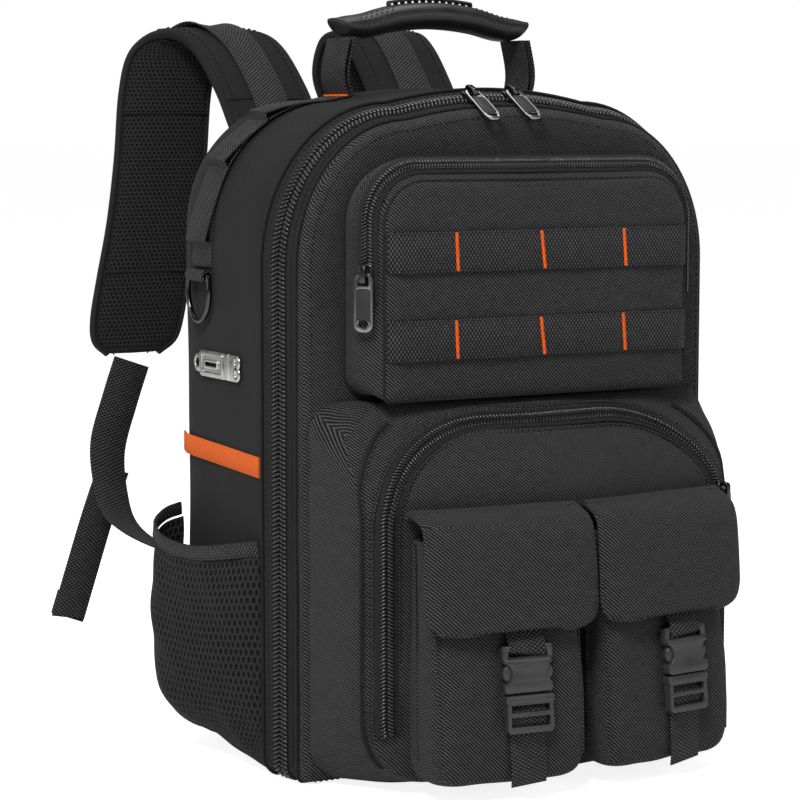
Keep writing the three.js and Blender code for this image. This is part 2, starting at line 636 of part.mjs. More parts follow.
// Slider with a bridge, and the tab whose bar passes under the bridge. The slider's sole is at a
// point on the chain, and the tab hangs away from it in its own direction.
function zipPull(name, { at, hinge, normal, hang }) {
  const { length, width, plate: sole, opening, bridge, gate } = SLIDER;
  const stand = sole + opening / 2;
  const pivot = at.clone().addScaledVector(normal, stand + GAP);
  const height = sole + opening + bridge;
  const profile = roundedRect(length, height, 2, 0, height / 2 - stand);
  profile.holes.push(roundedRect(gate, opening, 1, 0, 0, THREE.Path));
  const slider = add(`slider_${name}`, plate(profile, width), finish.gunmetal);
  const along = normal.clone().cross(hinge);
  slider.quaternion.setFromRotationMatrix(new THREE.Matrix4().makeBasis(along, normal, hinge.clone()));
  slider.position.copy(pivot);
  const tab = roundedRect(PULL.width, PULL.length, 5, 0, PULL.bar / 2 - PULL.length / 2);
  const eye = -PULL.bar / 2 - PULL.eyeLength / 2;
  tab.holes.push(roundedRect(PULL.eyeWidth, PULL.eyeLength, 1, 0, eye, THREE.Path));
  const tip = PULL.bar / 2 - PULL.length + 5.5;
  tab.holes.push(roundedRect(PULL.width * 0.5, 5, 2, 0, tip, THREE.Path));
  const pull = add(`pull_${name}`, plate(tab, PULL.thick), finish.gunmetal);
  const up = hang.clone().negate();
  pull.quaternion.setFromRotationMatrix(new THREE.Matrix4().makeBasis(hinge, up, hinge.clone().cross(up)));
  pull.position.copy(pivot);
}

function zipPulls() {
  const slope = Math.atan2(BODY.seamInset, BAND);
  const y = (BODY.zipBack + BODY.zipFront) / 2;
  const crest = 0.4;
  const over = vec(0, -Math.sin(slope), Math.cos(slope));
  for (const [name, x] of [['main_left', SLIDER.mainLeft], ['main_right', SLIDER.mainRight]]) {
    const z = topAt(x, y) - bandInset(y);
    zipPull(name, {
      at: vec(x, y, z).addScaledVector(over, crest), hinge: vec(1, 0, 0), normal: over,
      hang: vec(0, -0.861, -0.508).normalize(),
    });
  }
  const run = vec(-(UPPER.seamInset - 1), UPPER.seam - UPPER.zip, 0).normalize();
  const side = vec(run.y, run.x, 0);
  const share = 0.4;
  const chainTop = GAP + 2;
  zipPull('upper', {
    at: vec(-(UPPER.half - 1) - share * -(UPPER.seamInset - 1), mix(UPPER.zip, UPPER.seam, share), SLIDER.upper)
      .addScaledVector(side, chainTop),
    hinge: vec(-run.x, run.y, 0), normal: side, hang: vec(0, 0, -1),
  });
  const [from, to] = [zipOuter, zipInner].map(({ half, level }) => roof(vec(half, level, SLIDER.lower)));
  const inward = to.clone().sub(from).normalize();
  const face = vec(-inward.y, inward.x, 0);
  zipPull('lower', {
    at: from.lerp(to, 0.475).addScaledVector(face, chainTop), hinge: inward.negate(), normal: face, hang: vec(0, 0, -1),
  });
}

// Padded back panel and shoulder straps behind the pack
function backPanel() {
  const shape = {
    half: BACK_PANEL.half, low: BACK_PANEL.low, high: BACK_PANEL.high, cornerX: BACK_PANEL.corner,
    cornerZ: BACK_PANEL.corner, foot: 30, crown: 4,
  };
  const start = BODY.back + GAP;
  const rows = [
    { ...shape, level: start }, { ...shape, level: start + BACK_PANEL.thick * 0.6 },
    { ...inset(shape, 8), level: start + BACK_PANEL.thick },
  ];
  add('back_panel', loft(rows.map(upright)), finish.mesh);
}

const LEFT_PAD = [
  { aside: 0.351, behind: 0.1, up: 0.847, full: 1 }, { aside: 0.357, behind: 0.26, up: 0.886, full: 1 },
  { aside: 0.36, behind: 0.43, up: 0.94, full: 1 }, { aside: 0.368, behind: 0.59, up: 1.002, full: 1 },
  { aside: 0.4, behind: 0.77, up: 1.064, full: 1 }, { aside: 0.46, behind: 0.874, up: 1.09, full: 1 },
  { aside: 0.55, behind: 0.948, up: 1.089, full: 1 }, { aside: 0.635, behind: 0.993, up: 1.059, full: 1 },
  { aside: 0.678, behind: 1, up: 0.996, full: 1 }, { aside: 0.713, behind: 0.97, up: 0.891, full: 1 },
  { aside: 0.766, behind: 0.926, up: 0.788, full: 1 }, { aside: 0.83, behind: 0.889, up: 0.696, full: 1 },
  { aside: 0.865, behind: 0.874, up: 0.634, full: 1 }, { aside: 0.883, behind: 0.863, up: 0.598, full: 0.9 },
  { aside: 0.895, behind: 0.856, up: 0.577, full: 0.58 },
];
const RIGHT_PAD = [
  { aside: 0.351, behind: 0.1, up: 0.847, full: 1 }, { aside: 0.363, behind: 0.25, up: 0.885, full: 1 },
  { aside: 0.37, behind: 0.43, up: 0.945, full: 1 }, { aside: 0.37, behind: 0.6, up: 1.011, full: 1 },
  { aside: 0.35, behind: 0.74, up: 1.068, full: 1 }, { aside: 0.32, behind: 0.845, up: 1.094, full: 1 },
  { aside: 0.28, behind: 0.94, up: 1.082, full: 1 }, { aside: 0.27, behind: 0.993, up: 1.028, full: 1 },
  { aside: 0.33, behind: 1, up: 0.97, full: 1 }, { aside: 0.44, behind: 0.978, up: 0.886, full: 1 },
  { aside: 0.573, behind: 0.94, up: 0.792, full: 1 }, { aside: 0.713, behind: 0.904, up: 0.7, full: 1 },
  { aside: 0.807, behind: 0.881, up: 0.643, full: 1 }, { aside: 0.85, behind: 0.87, up: 0.605, full: 0.9 },
  { aside: 0.875, behind: 0.863, up: 0.582, full: 0.58 },
];
const WEB_RUN = [
  { aside: 0.9, behind: 0.852, up: 0.563 }, { aside: 0.965, behind: 0.83, up: 0.503 },
  { aside: 1.04, behind: 0.785, up: 0.429 }, { aside: 1.058, behind: 0.696, up: 0.363 },
  { aside: 1.064, behind: 0.563, up: 0.324 }, { aside: 1.041, behind: 0.37, up: 0.302 },
  { aside: 0.99, behind: 0.163, up: 0.287 }, { aside: 0.95, behind: 0.06, up: 0.283 },
  { aside: 0.907, behind: 0.0037, up: 0.28 },
];
const TAIL_RUN = [
  { aside: 1.03, behind: 0.752, up: 0.39 }, { aside: 1.09, behind: 0.793, up: 0.315 },
  { aside: 1.17, behind: 0.77, up: 0.236 }, { aside: 1.25, behind: 0.741, up: 0.158 },
];

// Shoulder strap: places are shares of the body's half width, the strap's depth and the body's height
function shoulderStrap(hand, side, run) {
  const at = ({ aside, behind, up }) => vec(
    side * BODY.half * aside, BODY.back + STRAP.depth * behind, BODY.high * up,
  );
  add(`shoulder_pad_${hand}`, ribbon(run.map((p) => ({
    at: at(p), across: vec(1, 0, 0), width: STRAP.pad * p.full, thick: STRAP.thick * Math.sqrt(p.full),
  })), { round: 6 }), finish.plain);
  const flat = (path, across, width) => path.map((p) => ({ at: at(p), across, width, thick: WEBBING }));
  add(`strap_webbing_${hand}`, ribbon(flat(WEB_RUN, vec(1, 0, 0.35 * side), STRAP.webbing)), finish.webbing);
  add(`strap_tail_${hand}`, ribbon(flat(TAIL_RUN, vec(1, 0, 0.2 * side), STRAP.tail)), finish.webbing);
}

mainCompartment();
upperPocket();
lowerCompartment();
for (const [hand, side, shift] of [['left', -1, BUCKLE.left], ['right', 1, BUCKLE.right]]) {
  pouch(`pouch_${hand}`, side);
  flap(`flap_${hand}`, side);
  buckle(`buckle_${hand}`, side, shift);
}
meshPocket();
sideFittings();
daisyChain();
handle();
zipPulls();
backPanel();
shoulderStrap('left', -1, LEFT_PAD);
shoulderStrap('right', 1, RIGHT_PAD);

export default group;
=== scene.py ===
"""Looks of the tool backpack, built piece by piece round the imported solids."""
import json
import logging
import math
from dataclasses import dataclass, replace
from enum import Enum
from typing import Callable, Iterable, Sequence

import bpy
import numpy as np
from mathutils import Matrix, Vector

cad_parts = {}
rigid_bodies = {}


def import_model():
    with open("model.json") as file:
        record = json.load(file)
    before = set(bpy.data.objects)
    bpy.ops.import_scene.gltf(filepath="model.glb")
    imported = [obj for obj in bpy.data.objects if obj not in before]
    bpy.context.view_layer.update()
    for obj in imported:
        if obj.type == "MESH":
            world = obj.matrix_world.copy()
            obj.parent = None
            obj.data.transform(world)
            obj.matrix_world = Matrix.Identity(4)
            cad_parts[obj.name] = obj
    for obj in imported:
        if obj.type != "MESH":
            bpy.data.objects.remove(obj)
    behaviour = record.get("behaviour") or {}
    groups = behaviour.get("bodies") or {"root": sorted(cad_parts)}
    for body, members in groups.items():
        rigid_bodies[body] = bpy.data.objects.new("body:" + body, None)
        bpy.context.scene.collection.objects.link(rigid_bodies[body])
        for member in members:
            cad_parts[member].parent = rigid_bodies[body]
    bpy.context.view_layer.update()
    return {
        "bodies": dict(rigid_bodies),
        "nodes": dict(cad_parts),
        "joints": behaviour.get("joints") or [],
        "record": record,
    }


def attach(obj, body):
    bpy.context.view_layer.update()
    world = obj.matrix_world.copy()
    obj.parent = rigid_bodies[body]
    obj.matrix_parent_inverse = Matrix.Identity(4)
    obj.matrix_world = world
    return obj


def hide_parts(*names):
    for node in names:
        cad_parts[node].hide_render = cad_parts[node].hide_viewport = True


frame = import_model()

MM = 0.001
LOWEST = 0.0002
PACK = "pack"
CLOTH_WEAR, HARD_WEAR = 14.0, 60.0
CLOTH_FADE, HARD_FADE = 0.05, 0.35
HEX_ROWS = 0.577
HEX_TALL = 1.73
YARN_UNEVENNESS = 0.22
log = logging.getLogger("backpack")


# Finishes

class Weave(Enum):
    """How a textile is made, which sets its height pattern."""

    TWILL = "Twill"
    PLAIN = "Plain weave"
    RIBBED = "Ribbed webbing"
    AIR_MESH = "Air mesh"
    NET = "Pocket net"


class Graph:
    """A short way to lay nodes in one tree and join them."""

    def __init__(self, tree: bpy.types.NodeTree) -> None:
        """Keep the tree that the nodes go into."""
        self.tree = tree

    def node(self, kind: str, **settings: object) -> bpy.types.Node:
        """Add a node.

        Args:
            kind: The node's Blender type.
            settings: Its properties and their values.

        Returns:
            The new node.
        """
        made = self.tree.nodes.new(kind)
        for key, value in settings.items():
            setattr(made, key, value)
        return made

    def feed(self, socket: bpy.types.NodeSocket, value: object) -> None:
        """Join a socket to another socket, or set it to a plain value."""
        if isinstance(value, bpy.types.NodeSocket):
            self.tree.links.new(value, socket)
        else:
            socket.default_value = value

    def math(self, operation: str, *values: object) -> bpy.types.NodeSocket:
        """Add a Math node.

        Args:
            operation: The sum that it does.
            values: Its inputs, as sockets or numbers.

        Returns:
            The result's socket.
        """
        made = self.node("ShaderNodeMath", operation=operation)
        for socket, value in zip(made.inputs, values):
            self.feed(socket, value)
        return made.outputs[0]

    def plus(self, a: object, b: object) -> bpy.types.NodeSocket:
        """Add two values."""
        return self.math("ADD", a, b)

    def times(self, a: object, b: object) -> bpy.types.NodeSocket:
        """Multiply two values."""
        return self.math("MULTIPLY", a, b)

    def vector(self, operation: str, *values: object) -> bpy.types.Node:
        """Add a Vector Math node and feed its inputs in order."""
        made = self.node("ShaderNodeVectorMath", operation=operation)
        for socket, value in zip(made.inputs, values):
            self.feed(socket, value)
        return made

    def lit_for_camera(self, least: float, more: float) -> bpy.types.NodeSocket:
        """A strength that rises by more where the camera sees the surface directly."""
        seen = self.node("ShaderNodeLightPath").outputs["Is Camera Ray"]
        return self.plus(self.times(seen, more), least)

    def blend(self, factor: object, a: object, b: object, how: str = "MIX") -> bpy.types.NodeSocket:
        """Mix two colours by a factor and return the result's socket."""
        made = self.node("ShaderNodeMix", data_type="RGBA", blend_type=how)
        self.feed(made.inputs[0], factor)
        self.feed(made.inputs[6], a)
        self.feed(made.inputs[7], b)
        return made.outputs[2]

    def span(self, value: object, low: float, high: float, out_low: float, out_high: float,
             ) -> bpy.types.NodeSocket:
        """Map a value smoothly from one range to another and return the result's socket."""
        made = self.node("ShaderNodeMapRange", interpolation_type="SMOOTHSTEP")
        for index, number in enumerate((value, low, high, out_low, out_high)):
            self.feed(made.inputs[index], number)
        return made.outputs[0]


def new_group(name: str, inputs: Sequence[tuple[str, str]], outputs: Sequence[str],
              ) -> tuple[Graph, dict, dict]:
    """Start a shader node group.

    Args:
        name: The group's name.
        inputs: Names and socket types that it takes.
        outputs: Names of the numbers that it puts out.

    Returns:
        Its graph, the sockets inside that carry its inputs, and those that take its outputs.
    """
    tree = bpy.data.node_groups.new(name, "ShaderNodeTree")
    for label, kind in inputs:
        tree.interface.new_socket(name=label, in_out="INPUT", socket_type=kind)
    for label in outputs:
        tree.interface.new_socket(name=label, in_out="OUTPUT", socket_type="NodeSocketFloat")
    graph = Graph(tree)
    start = graph.node("NodeGroupInput")
    end = graph.node("NodeGroupOutput")
    return graph, {n: start.outputs[n] for n, _ in inputs}, {n: end.inputs[n] for n in outputs}


def weave_group(weave: Weave) -> bpy.types.NodeTree:
    """Build, once, the node group of a textile's surface.

    Args:
        weave: How the textile is made.

    Returns:
        A group that takes the place on the cloth in metres and the pitch in millimetres, and puts out the
        height of the yarns and a shade that follows that height: painted light on the yarns' tops and painted
        shade in the hollows between them.
    """
    known = bpy.data.node_groups.get(weave.value)
    if known:
        return known
    graph, take, give = new_group(
        weave.value, [("Place", "NodeSocketVector"), ("Pitch", "NodeSocketFloat")], ["Height", "Shade"]
    )
    scaled = graph.node("ShaderNodeVectorMath", operation="SCALE")
    graph.feed(scaled.inputs[0], take["Place"])
    graph.feed(scaled.inputs["Scale"], graph.math("DIVIDE", 1 / MM, take["Pitch"]))
    parts = graph.node("ShaderNodeSeparateXYZ")
    graph.feed(parts.inputs[0], scaled.outputs[0])
    u, v = parts.outputs[0], parts.outputs[1]

    def wave(value: object) -> bpy.types.NodeSocket:
        """One cycle of a wave for each whole number of the value."""
        return graph.math("SINE", graph.times(value, math.tau))

    if weave is Weave.TWILL:
        ridge = wave(graph.plus(u, v))
        yarn = wave(graph.math("SUBTRACT", graph.times(u, 0.5), graph.times(v, 1.5)))
        height = graph.plus(graph.times(ridge, 0.34), graph.times(yarn, 0.16))
    elif weave is Weave.PLAIN:
        height = graph.times(graph.times(wave(u), wave(v)), 0.5)
    elif weave is Weave.RIBBED:
        column = graph.math("FLOOR", graph.times(u, 1.35))
        across = graph.math("ABSOLUTE", wave(graph.times(u, 0.675)))
        shifted = graph.plus(v, graph.times(column, 0.5))
        bead = graph.times(wave(shifted), across)
        height = graph.times(bead, 0.5)
    else:
        squash = 1.0 if weave is Weave.AIR_MESH else 0.8
        spots = []
        for shift in (0.0, 0.5):
            cell = graph.node("ShaderNodeCombineXYZ")
            graph.feed(cell.inputs[0], graph.plus(u, shift))
            graph.feed(cell.inputs[1], graph.plus(graph.times(v, HEX_ROWS * squash), shift))
            dots = graph.vector("FRACTION", cell.outputs[0])
            centred = graph.vector("SUBTRACT", dots.outputs[0], (0.5, 0.5, 0.0))
            sized = graph.vector("MULTIPLY", centred.outputs[0], (1.0, HEX_TALL, 0.0))
            spots.append(graph.vector("LENGTH", sized.outputs[0]).outputs["Value"])
        near = graph.math("MINIMUM", spots[0], spots[1])
        height = graph.math("SUBTRACT", graph.span(near, 0.24, 0.44, 0.0, 1.0), 0.5)
    noise = graph.node("ShaderNodeTexNoise")
    graph.feed(noise.inputs["Vector"], scaled.outputs[0])
    noise.inputs["Scale"].default_value = 0.35
    noise.inputs["Detail"].default_value = 3.0
    uneven = graph.times(graph.math("SUBTRACT", noise.outputs[0], 0.5), YARN_UNEVENNESS)
    total = graph.plus(graph.plus(height, uneven), 0.5)
    graph.feed(give["Height"], total)
    # Shade is painted light and shade: where the yarns stand high they are painted lighter, and the hollows
    # between them darker.
    graph.feed(give["Shade"], graph.span(total, 0.35, 1.0, 0.0, 1.0))
    return graph.tree


def handling_group() -> bpy.types.NodeTree:
    """Build, once, the node group of slow changes of tone and gloss that handling leaves."""
    known = bpy.data.node_groups.get("Handling")
    if known:
        return known
    graph, take, give = new_group(
        "Handling", [("Place", "NodeSocketVector"), ("Size", "NodeSocketFloat")], ["Tone", "Gloss"]
    )
    noise = graph.node("ShaderNodeTexNoise")
    graph.feed(noise.inputs["Vector"], take["Place"])
    graph.feed(noise.inputs["Scale"], take["Size"])
    noise.inputs["Detail"].default_value = 5.0
    graph.feed(give["Tone"], graph.span(noise.outputs[0], 0.3, 0.7, 0.0, 1.0))
    graph.feed(give["Gloss"], graph.span(noise.outputs[0], 0.35, 0.65, -0.06, 0.06))
    return graph.tree


class Surface:
    """A new material that takes marks of handling, ready for its colour and bump."""

    def __init__(self, name: str, wear: float) -> None:
        """Start the material, with its marks of handling at a noise scale."""
        self.material = bpy.data.materials.new(name)
        self.material.use_nodes = True
        self.graph = Graph(self.material.node_tree)
        self.shader = self.material.node_tree.nodes["Principled BSDF"]
        self.place = self.graph.node("ShaderNodeTexCoord")
        self.worn = self.graph.node("ShaderNodeGroup", node_tree=handling_group())
        self.graph.feed(self.worn.inputs["Place"], self.place.outputs["Object"])
        self.worn.inputs["Size"].default_value = wear

    def close(self, colour: bpy.types.NodeSocket, roughness: float, height: bpy.types.NodeSocket,
              strength: float, depth: float, extra: dict[str, float]) -> bpy.types.Material:
        """Feed the shader.

        Args:
            colour: The base colour.
            roughness: The roughness that handling changes a little.
            height: The height of the bump.
            strength: How strong the bump is.
            depth: How deep the bump is, in millimetres.
            extra: Other inputs of the shader and their values.

        Returns:
            The material.
        """
        graph, shader = self.graph, self.shader
        graph.feed(shader.inputs["Base Color"], colour)
        graph.feed(shader.inputs["Roughness"], graph.plus(self.worn.outputs["Gloss"], roughness))
        bump = graph.node("ShaderNodeBump")
        bump.inputs["Strength"].default_value = strength
        bump.inputs["Distance"].default_value = depth * MM
        graph.feed(bump.inputs["Height"], height)
        graph.feed(shader.inputs["Normal"], bump.outputs[0])
        for name, value in extra.items():
            shader.inputs[name].default_value = value
        return self.material


@dataclass(frozen=True)
class ClothFinish:
    """A textile: its colours, painted darker in the weave's hollows and lighter on its yarns' tops as painted
    shade and light, how it is woven and how it takes the light.
    """

    name: str
    slot: str
    # dark is the painted shade in the weave's hollows, and light is the painted highlight on the yarns' tops.
    dark: tuple[float, float, float]
    light: tuple[float, float, float]
    weave: Weave
    pitch: float
    depth: float = 0.35
    roughness: float = 0.85
    sheen: float = 0.03

    def material(self) -> bpy.types.Material:
        """Return the material, made the first time."""
        known = bpy.data.materials.get(self.name)
        if known:
            return known
        surface = Surface(self.name, CLOTH_WEAR)
        graph = surface.graph
        weave = graph.node("ShaderNodeGroup", node_tree=weave_group(self.weave))
        graph.feed(weave.inputs["Place"], surface.place.outputs["UV"])
        weave.inputs["Pitch"].default_value = self.pitch
        # The weave's height picks the colour: painted shade in its hollows, painted light on its yarns' tops.
        painted_weave_shade = graph.blend(weave.outputs["Shade"], (*self.dark, 1), (*self.light, 1))
        toned = graph.blend(graph.times(surface.worn.outputs["Tone"], CLOTH_FADE), painted_weave_shade, (*self.light, 1))
        extra = {"Sheen Weight": self.sheen, "Sheen Roughness": 0.45, "Specular IOR Level": 0.22}
        return surface.close(toned, self.roughness, weave.outputs["Height"], 0.9, self.depth, extra)


@dataclass(frozen=True)
class HardFinish:
    """Plastic, rubber or metal: its colour, gloss and the fine grain of its surface."""

    name: str
    slot: str
    colour: tuple[float, float, float]
    worn: tuple[float, float, float]
    metallic: float = 0.0
    roughness: float = 0.4
    grain: float = 900.0
    grain_depth: float = 0.02
    coat: float = 0.0

    def material(self) -> bpy.types.Material:
        """Return the material, made the first time."""
        known = bpy.data.materials.get(self.name)
        if known:
            return known
        surface = Surface(self.name, HARD_WEAR)
        graph = surface.graph
        tone = graph.times(surface.worn.outputs["Tone"], HARD_FADE)
        colour = graph.blend(tone, (*self.colour, 1), (*self.worn, 1))
        grain = graph.node("ShaderNodeTexNoise")
        graph.feed(grain.inputs["Vector"], surface.place.outputs["Object"])
        grain.inputs["Scale"].default_value = self.grain
        extra = {"Metallic": self.metallic, "Coat Weight": self.coat}
        return surface.close(colour, self.roughness, grain.outputs[0], 0.6, self.grain_depth, extra)


# Each cloth's first colour is the painted shade in its weave's hollows, and its second is the painted light
# on its yarns' tops.
TWILL = ClothFinish(
    "Twill cloth", "twill_cloth", (0.0015, 0.0015, 0.0016), (0.092, 0.092, 0.095), Weave.TWILL, 2.5, 0.8
)
SIDE_CLOTH = ClothFinish(
    "Side cloth", "plain_cloth", (0.005, 0.005, 0.0054), (0.026, 0.026, 0.027), Weave.PLAIN, 1.6, 0.3
)
TAPE = ClothFinish(
    "Zipper tape", "coil_zip", (0.005, 0.005, 0.0055), (0.038, 0.038, 0.04), Weave.PLAIN, 1.5, 0.3
)
WEBBING = ClothFinish(
    "Webbing", "webbing", (0.001, 0.001, 0.0011), (0.088, 0.088, 0.09), Weave.RIBBED, 2.6, 1.0, 0.6
)
NET = ClothFinish(
    "Pocket net", "mesh_cloth", (0.001, 0.001, 0.001), (0.02, 0.02, 0.021), Weave.NET, 4.4, 1.0
)
AIR_MESH = ClothFinish(
    "Air mesh", "mesh_cloth", (0.002, 0.002, 0.002), (0.024, 0.024, 0.026), Weave.AIR_MESH, 3.6, 0.9
)
ELASTIC = ClothFinish(
    "Orange elastic", "orange_elastic", (0.62, 0.085, 0.008), (0.95, 0.2, 0.02), Weave.RIBBED, 1.3, 0.3
)
ORANGE_THREAD = ClothFinish(
    "Orange thread", "orange_elastic", (0.75, 0.09, 0.006), (1.0, 0.19, 0.015), Weave.PLAIN, 0.8, 0.2
)
THREAD = ClothFinish(
    "Black thread", "twill_cloth", (0.004, 0.004, 0.004), (0.014, 0.014, 0.015), Weave.PLAIN, 0.5, 0.1
)
COIL = HardFinish("Zipper coil", "coil_zip", (0.015, 0.015, 0.0155), (0.028, 0.028, 0.029), roughness=0.22)
PLASTIC = HardFinish(
    "Buckle plastic", "buckle_plastic", (0.033, 0.033, 0.034), (0.046, 0.046, 0.048), roughness=0.3,
    grain_depth=0.03,
)
RUBBER = HardFinish(
    "Grip rubber", "grip_rubber", (0.009, 0.009, 0.0095), (0.018, 0.018, 0.019), roughness=0.42,
    grain_depth=0.03,
)
DARK_CHROME = HardFinish(
    "Dark chrome", "dark_metal", (0.07, 0.07, 0.075), (0.13, 0.13, 0.14), 1.0, 0.16, grain_depth=0.005
)
# The tab frames' metal is the dark chrome painted brighter, as a painted highlight on their edges.
PAINTED_HIGHLIGHT_CHROME = HardFinish(
    "Chrome with painted highlight", "dark_metal", (0.28, 0.28, 0.285), (0.4, 0.4, 0.41), 1.0, 0.16, grain_depth=0.005
)
TAB_FILL = HardFinish(
    "Tab filling", "dark_metal", (0.008, 0.008, 0.0085), (0.02, 0.02, 0.021), 0.0, 0.55, 2600.0, 0.12
)
STEEL = HardFinish(
    "Clip steel", "clip_steel", (0.62, 0.62, 0.6), (0.75, 0.75, 0.74), 1.0, 0.24, grain_depth=0.01
)


# Mesh tools

Point = tuple[float, float, float]
Point2 = tuple[float, float]


def deselect() -> None:
    """Leave no object selected."""
    bpy.ops.object.select_all(action="DESELECT")


def make_active(piece: bpy.types.Object) -> None:
    """Select one piece alone and make it the active one."""
    deselect()
    piece.select_set(True)
    bpy.context.view_layer.objects.active = piece


def apply_all(piece: bpy.types.Object) -> None:
    """Apply every modifier of a piece, in order."""
    make_active(piece)
    for modifier in list(piece.modifiers):
        bpy.ops.object.modifier_apply(modifier=modifier.name)


def mesh_piece(name: str, points: np.ndarray, faces: Sequence[Sequence[int]]) -> bpy.types.Object:
    """Make a mesh object.

    Args:
        name: The piece's name.
        points: Places in millimetres, one row each.
        faces: Corner numbers of each face.

    Returns:
        The new object, its mesh in metres.
    """
    data = bpy.data.meshes.new(name)
    data.from_pydata((np.asarray(points, float) * MM).tolist(), [], [list(map(int, f)) for f in faces])
    data.update()
    piece = bpy.data.objects.new(name, data)
    bpy.context.scene.collection.objects.link(piece)
    return piece


def face_out(piece: bpy.types.Object, merge: float = 0.0) -> None:
    """Turn all faces outwards, after joining points that lie within merge millimetres."""
    make_active(piece)
    bpy.ops.object.mode_set(mode="EDIT")
    bpy.ops.mesh.select_all(action="SELECT")
    if merge:
        bpy.ops.mesh.remove_doubles(threshold=merge * MM)
    bpy.ops.mesh.normals_make_consistent(inside=False)
    bpy.ops.object.mode_set(mode="OBJECT")


def soften(piece: bpy.types.Object, levels: int) -> None:
    """Round a piece by subdivision."""
    modifier = piece.modifiers.new("Soften", "SUBSURF")
    modifier.levels = modifier.render_levels = levels
    apply_all(piece)


def thicken(piece: bpy.types.Object, wall: float, offset: float = -1.0) -> None:
    """Give a sheet its wall, in millimetres, inwards unless offset says otherwise."""
    modifier = piece.modifiers.new("Wall", "SOLIDIFY")
    modifier.thickness = wall * MM
    modifier.offset = offset
    apply_all(piece)


def round_edges(piece: bpy.types.Object, width: float, segments: int = 2, angle: float = 40.0) -> None:
    """Bevel the sharp edges of a piece by a width in millimetres."""
    modifier = piece.modifiers.new("Round", "BEVEL")
    modifier.width = width * MM
    modifier.segments = segments
    modifier.limit_method = "ANGLE"
    modifier.angle_limit = math.radians(angle)
    apply_all(piece)


def smooth(piece: bpy.types.Object, angle: float = 50.0) -> None:
    """Shade smooth, with creases above the angle."""
    make_active(piece)
    bpy.ops.object.shade_smooth_by_angle(angle=math.radians(angle))


def box_map(piece: bpy.types.Object) -> None:
    """Lay a cloth's pattern on a piece in metres, from the side that each face looks to."""
    data = piece.data
    layer = data.uv_layers.new(name="Cloth") if not data.uv_layers else data.uv_layers[0]
    corners = np.empty(len(data.loops), int)
    data.loops.foreach_get("vertex_index", corners)
    points = np.empty(len(data.vertices) * 3)
    data.vertices.foreach_get("co", points)
    points = points.reshape(-1, 3)[corners]
    normals = np.empty(len(data.polygons) * 3)
    data.polygons.foreach_get("normal", normals)
    counts = np.empty(len(data.polygons), int)
    data.polygons.foreach_get("loop_total", counts)
    normals = np.repeat(normals.reshape(-1, 3), counts, axis=0)
    facing = np.abs(normals).argmax(axis=1)
    u = np.where(facing == 0, np.sign(normals[:, 0]) * points[:, 1], points[:, 0])
    v = np.where(facing == 2, points[:, 1], points[:, 2])
    layer.data.foreach_set("uv", np.stack([u, v], axis=1).ravel())


Finish = ClothFinish | HardFinish


def dress(piece: bpy.types.Object, finish: Finish, body: str = PACK, stands_for: Iterable[str] = (),
          mapped: bool = True, angle: float = 50.0) -> bpy.types.Object:
    """Give a piece its finish and tie it to the frame.

    Args:
        piece: The finished mesh.
        finish: What it is made of.
        body: The moving body that it rides on.
        stands_for: Solids that it takes the place of.
        mapped: Whether its pattern is laid from the side that each face looks to.
        angle: Creases above this many degrees stay sharp.

    Returns:
        The piece.
    """
    piece.data.materials.clear()
    piece.data.materials.append(finish.material())
    if mapped and isinstance(finish, ClothFinish):
        box_map(piece)
    for vertex in piece.data.vertices:
        vertex.co.z = max(vertex.co.z, LOWEST)
    smooth(piece, angle)
    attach(piece, body)
    nodes = list(stands_for)
    if nodes:
        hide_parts(*nodes)
    log.info("%s: %d faces", piece.name, len(piece.data.polygons))
    return piece


def loft(name: str, rings: Sequence[np.ndarray], close_first: bool = False, close_last: bool = False,
         ) -> bpy.types.Object:
    """Skin rings of equal count with faces.

    Args:
        name: The piece's name.
        rings: Closed rings of points, in millimetres.
        close_first: Whether a fan closes the first ring.
        close_last: Whether a fan closes the last ring.

    Returns:
        The skinned piece.
    """
    count = len(rings[0])
    points = list(np.concatenate(rings))
    faces = []
    for r in range(len(rings) - 1):
        a, b = r * count, (r + 1) * count
        for i in range(count):
            j = (i + 1) % count
            faces.append((a + i, a + j, b + j, b + i))
    for wanted, start in ((close_first, 0), (close_last, (len(rings) - 1) * count)):
        if wanted:
            points.append(np.mean(points[start:start + count], axis=0))
            for i in range(count):
                faces.append((len(points) - 1, start + i, start + (i + 1) % count))
    piece = mesh_piece(name, np.array(points), faces)
    face_out(piece)
    return piece


def grid_sheet(name: str, grid: np.ndarray) -> bpy.types.Object:
    """Skin a grid of points, rows by columns by three, in millimetres, with its pattern along the grid."""
    rows, columns = grid.shape[:2]
    faces = [
        (r * columns + c, r * columns + c + 1, (r + 1) * columns + c + 1, (r + 1) * columns + c)
        for r in range(rows - 1) for c in range(columns - 1)
    ]
    piece = mesh_piece(name, grid.reshape(-1, 3), faces)
    along, across = run_along(grid[:, columns // 2]), run_along(grid[rows // 2])
    uv = np.stack(np.meshgrid(across, along), axis=-1).reshape(-1, 2) * MM
    layer = piece.data.uv_layers.new(name="Cloth")
    corners = [i for face in faces for i in face]
    layer.data.foreach_set("uv", uv[corners].ravel())
    return piece


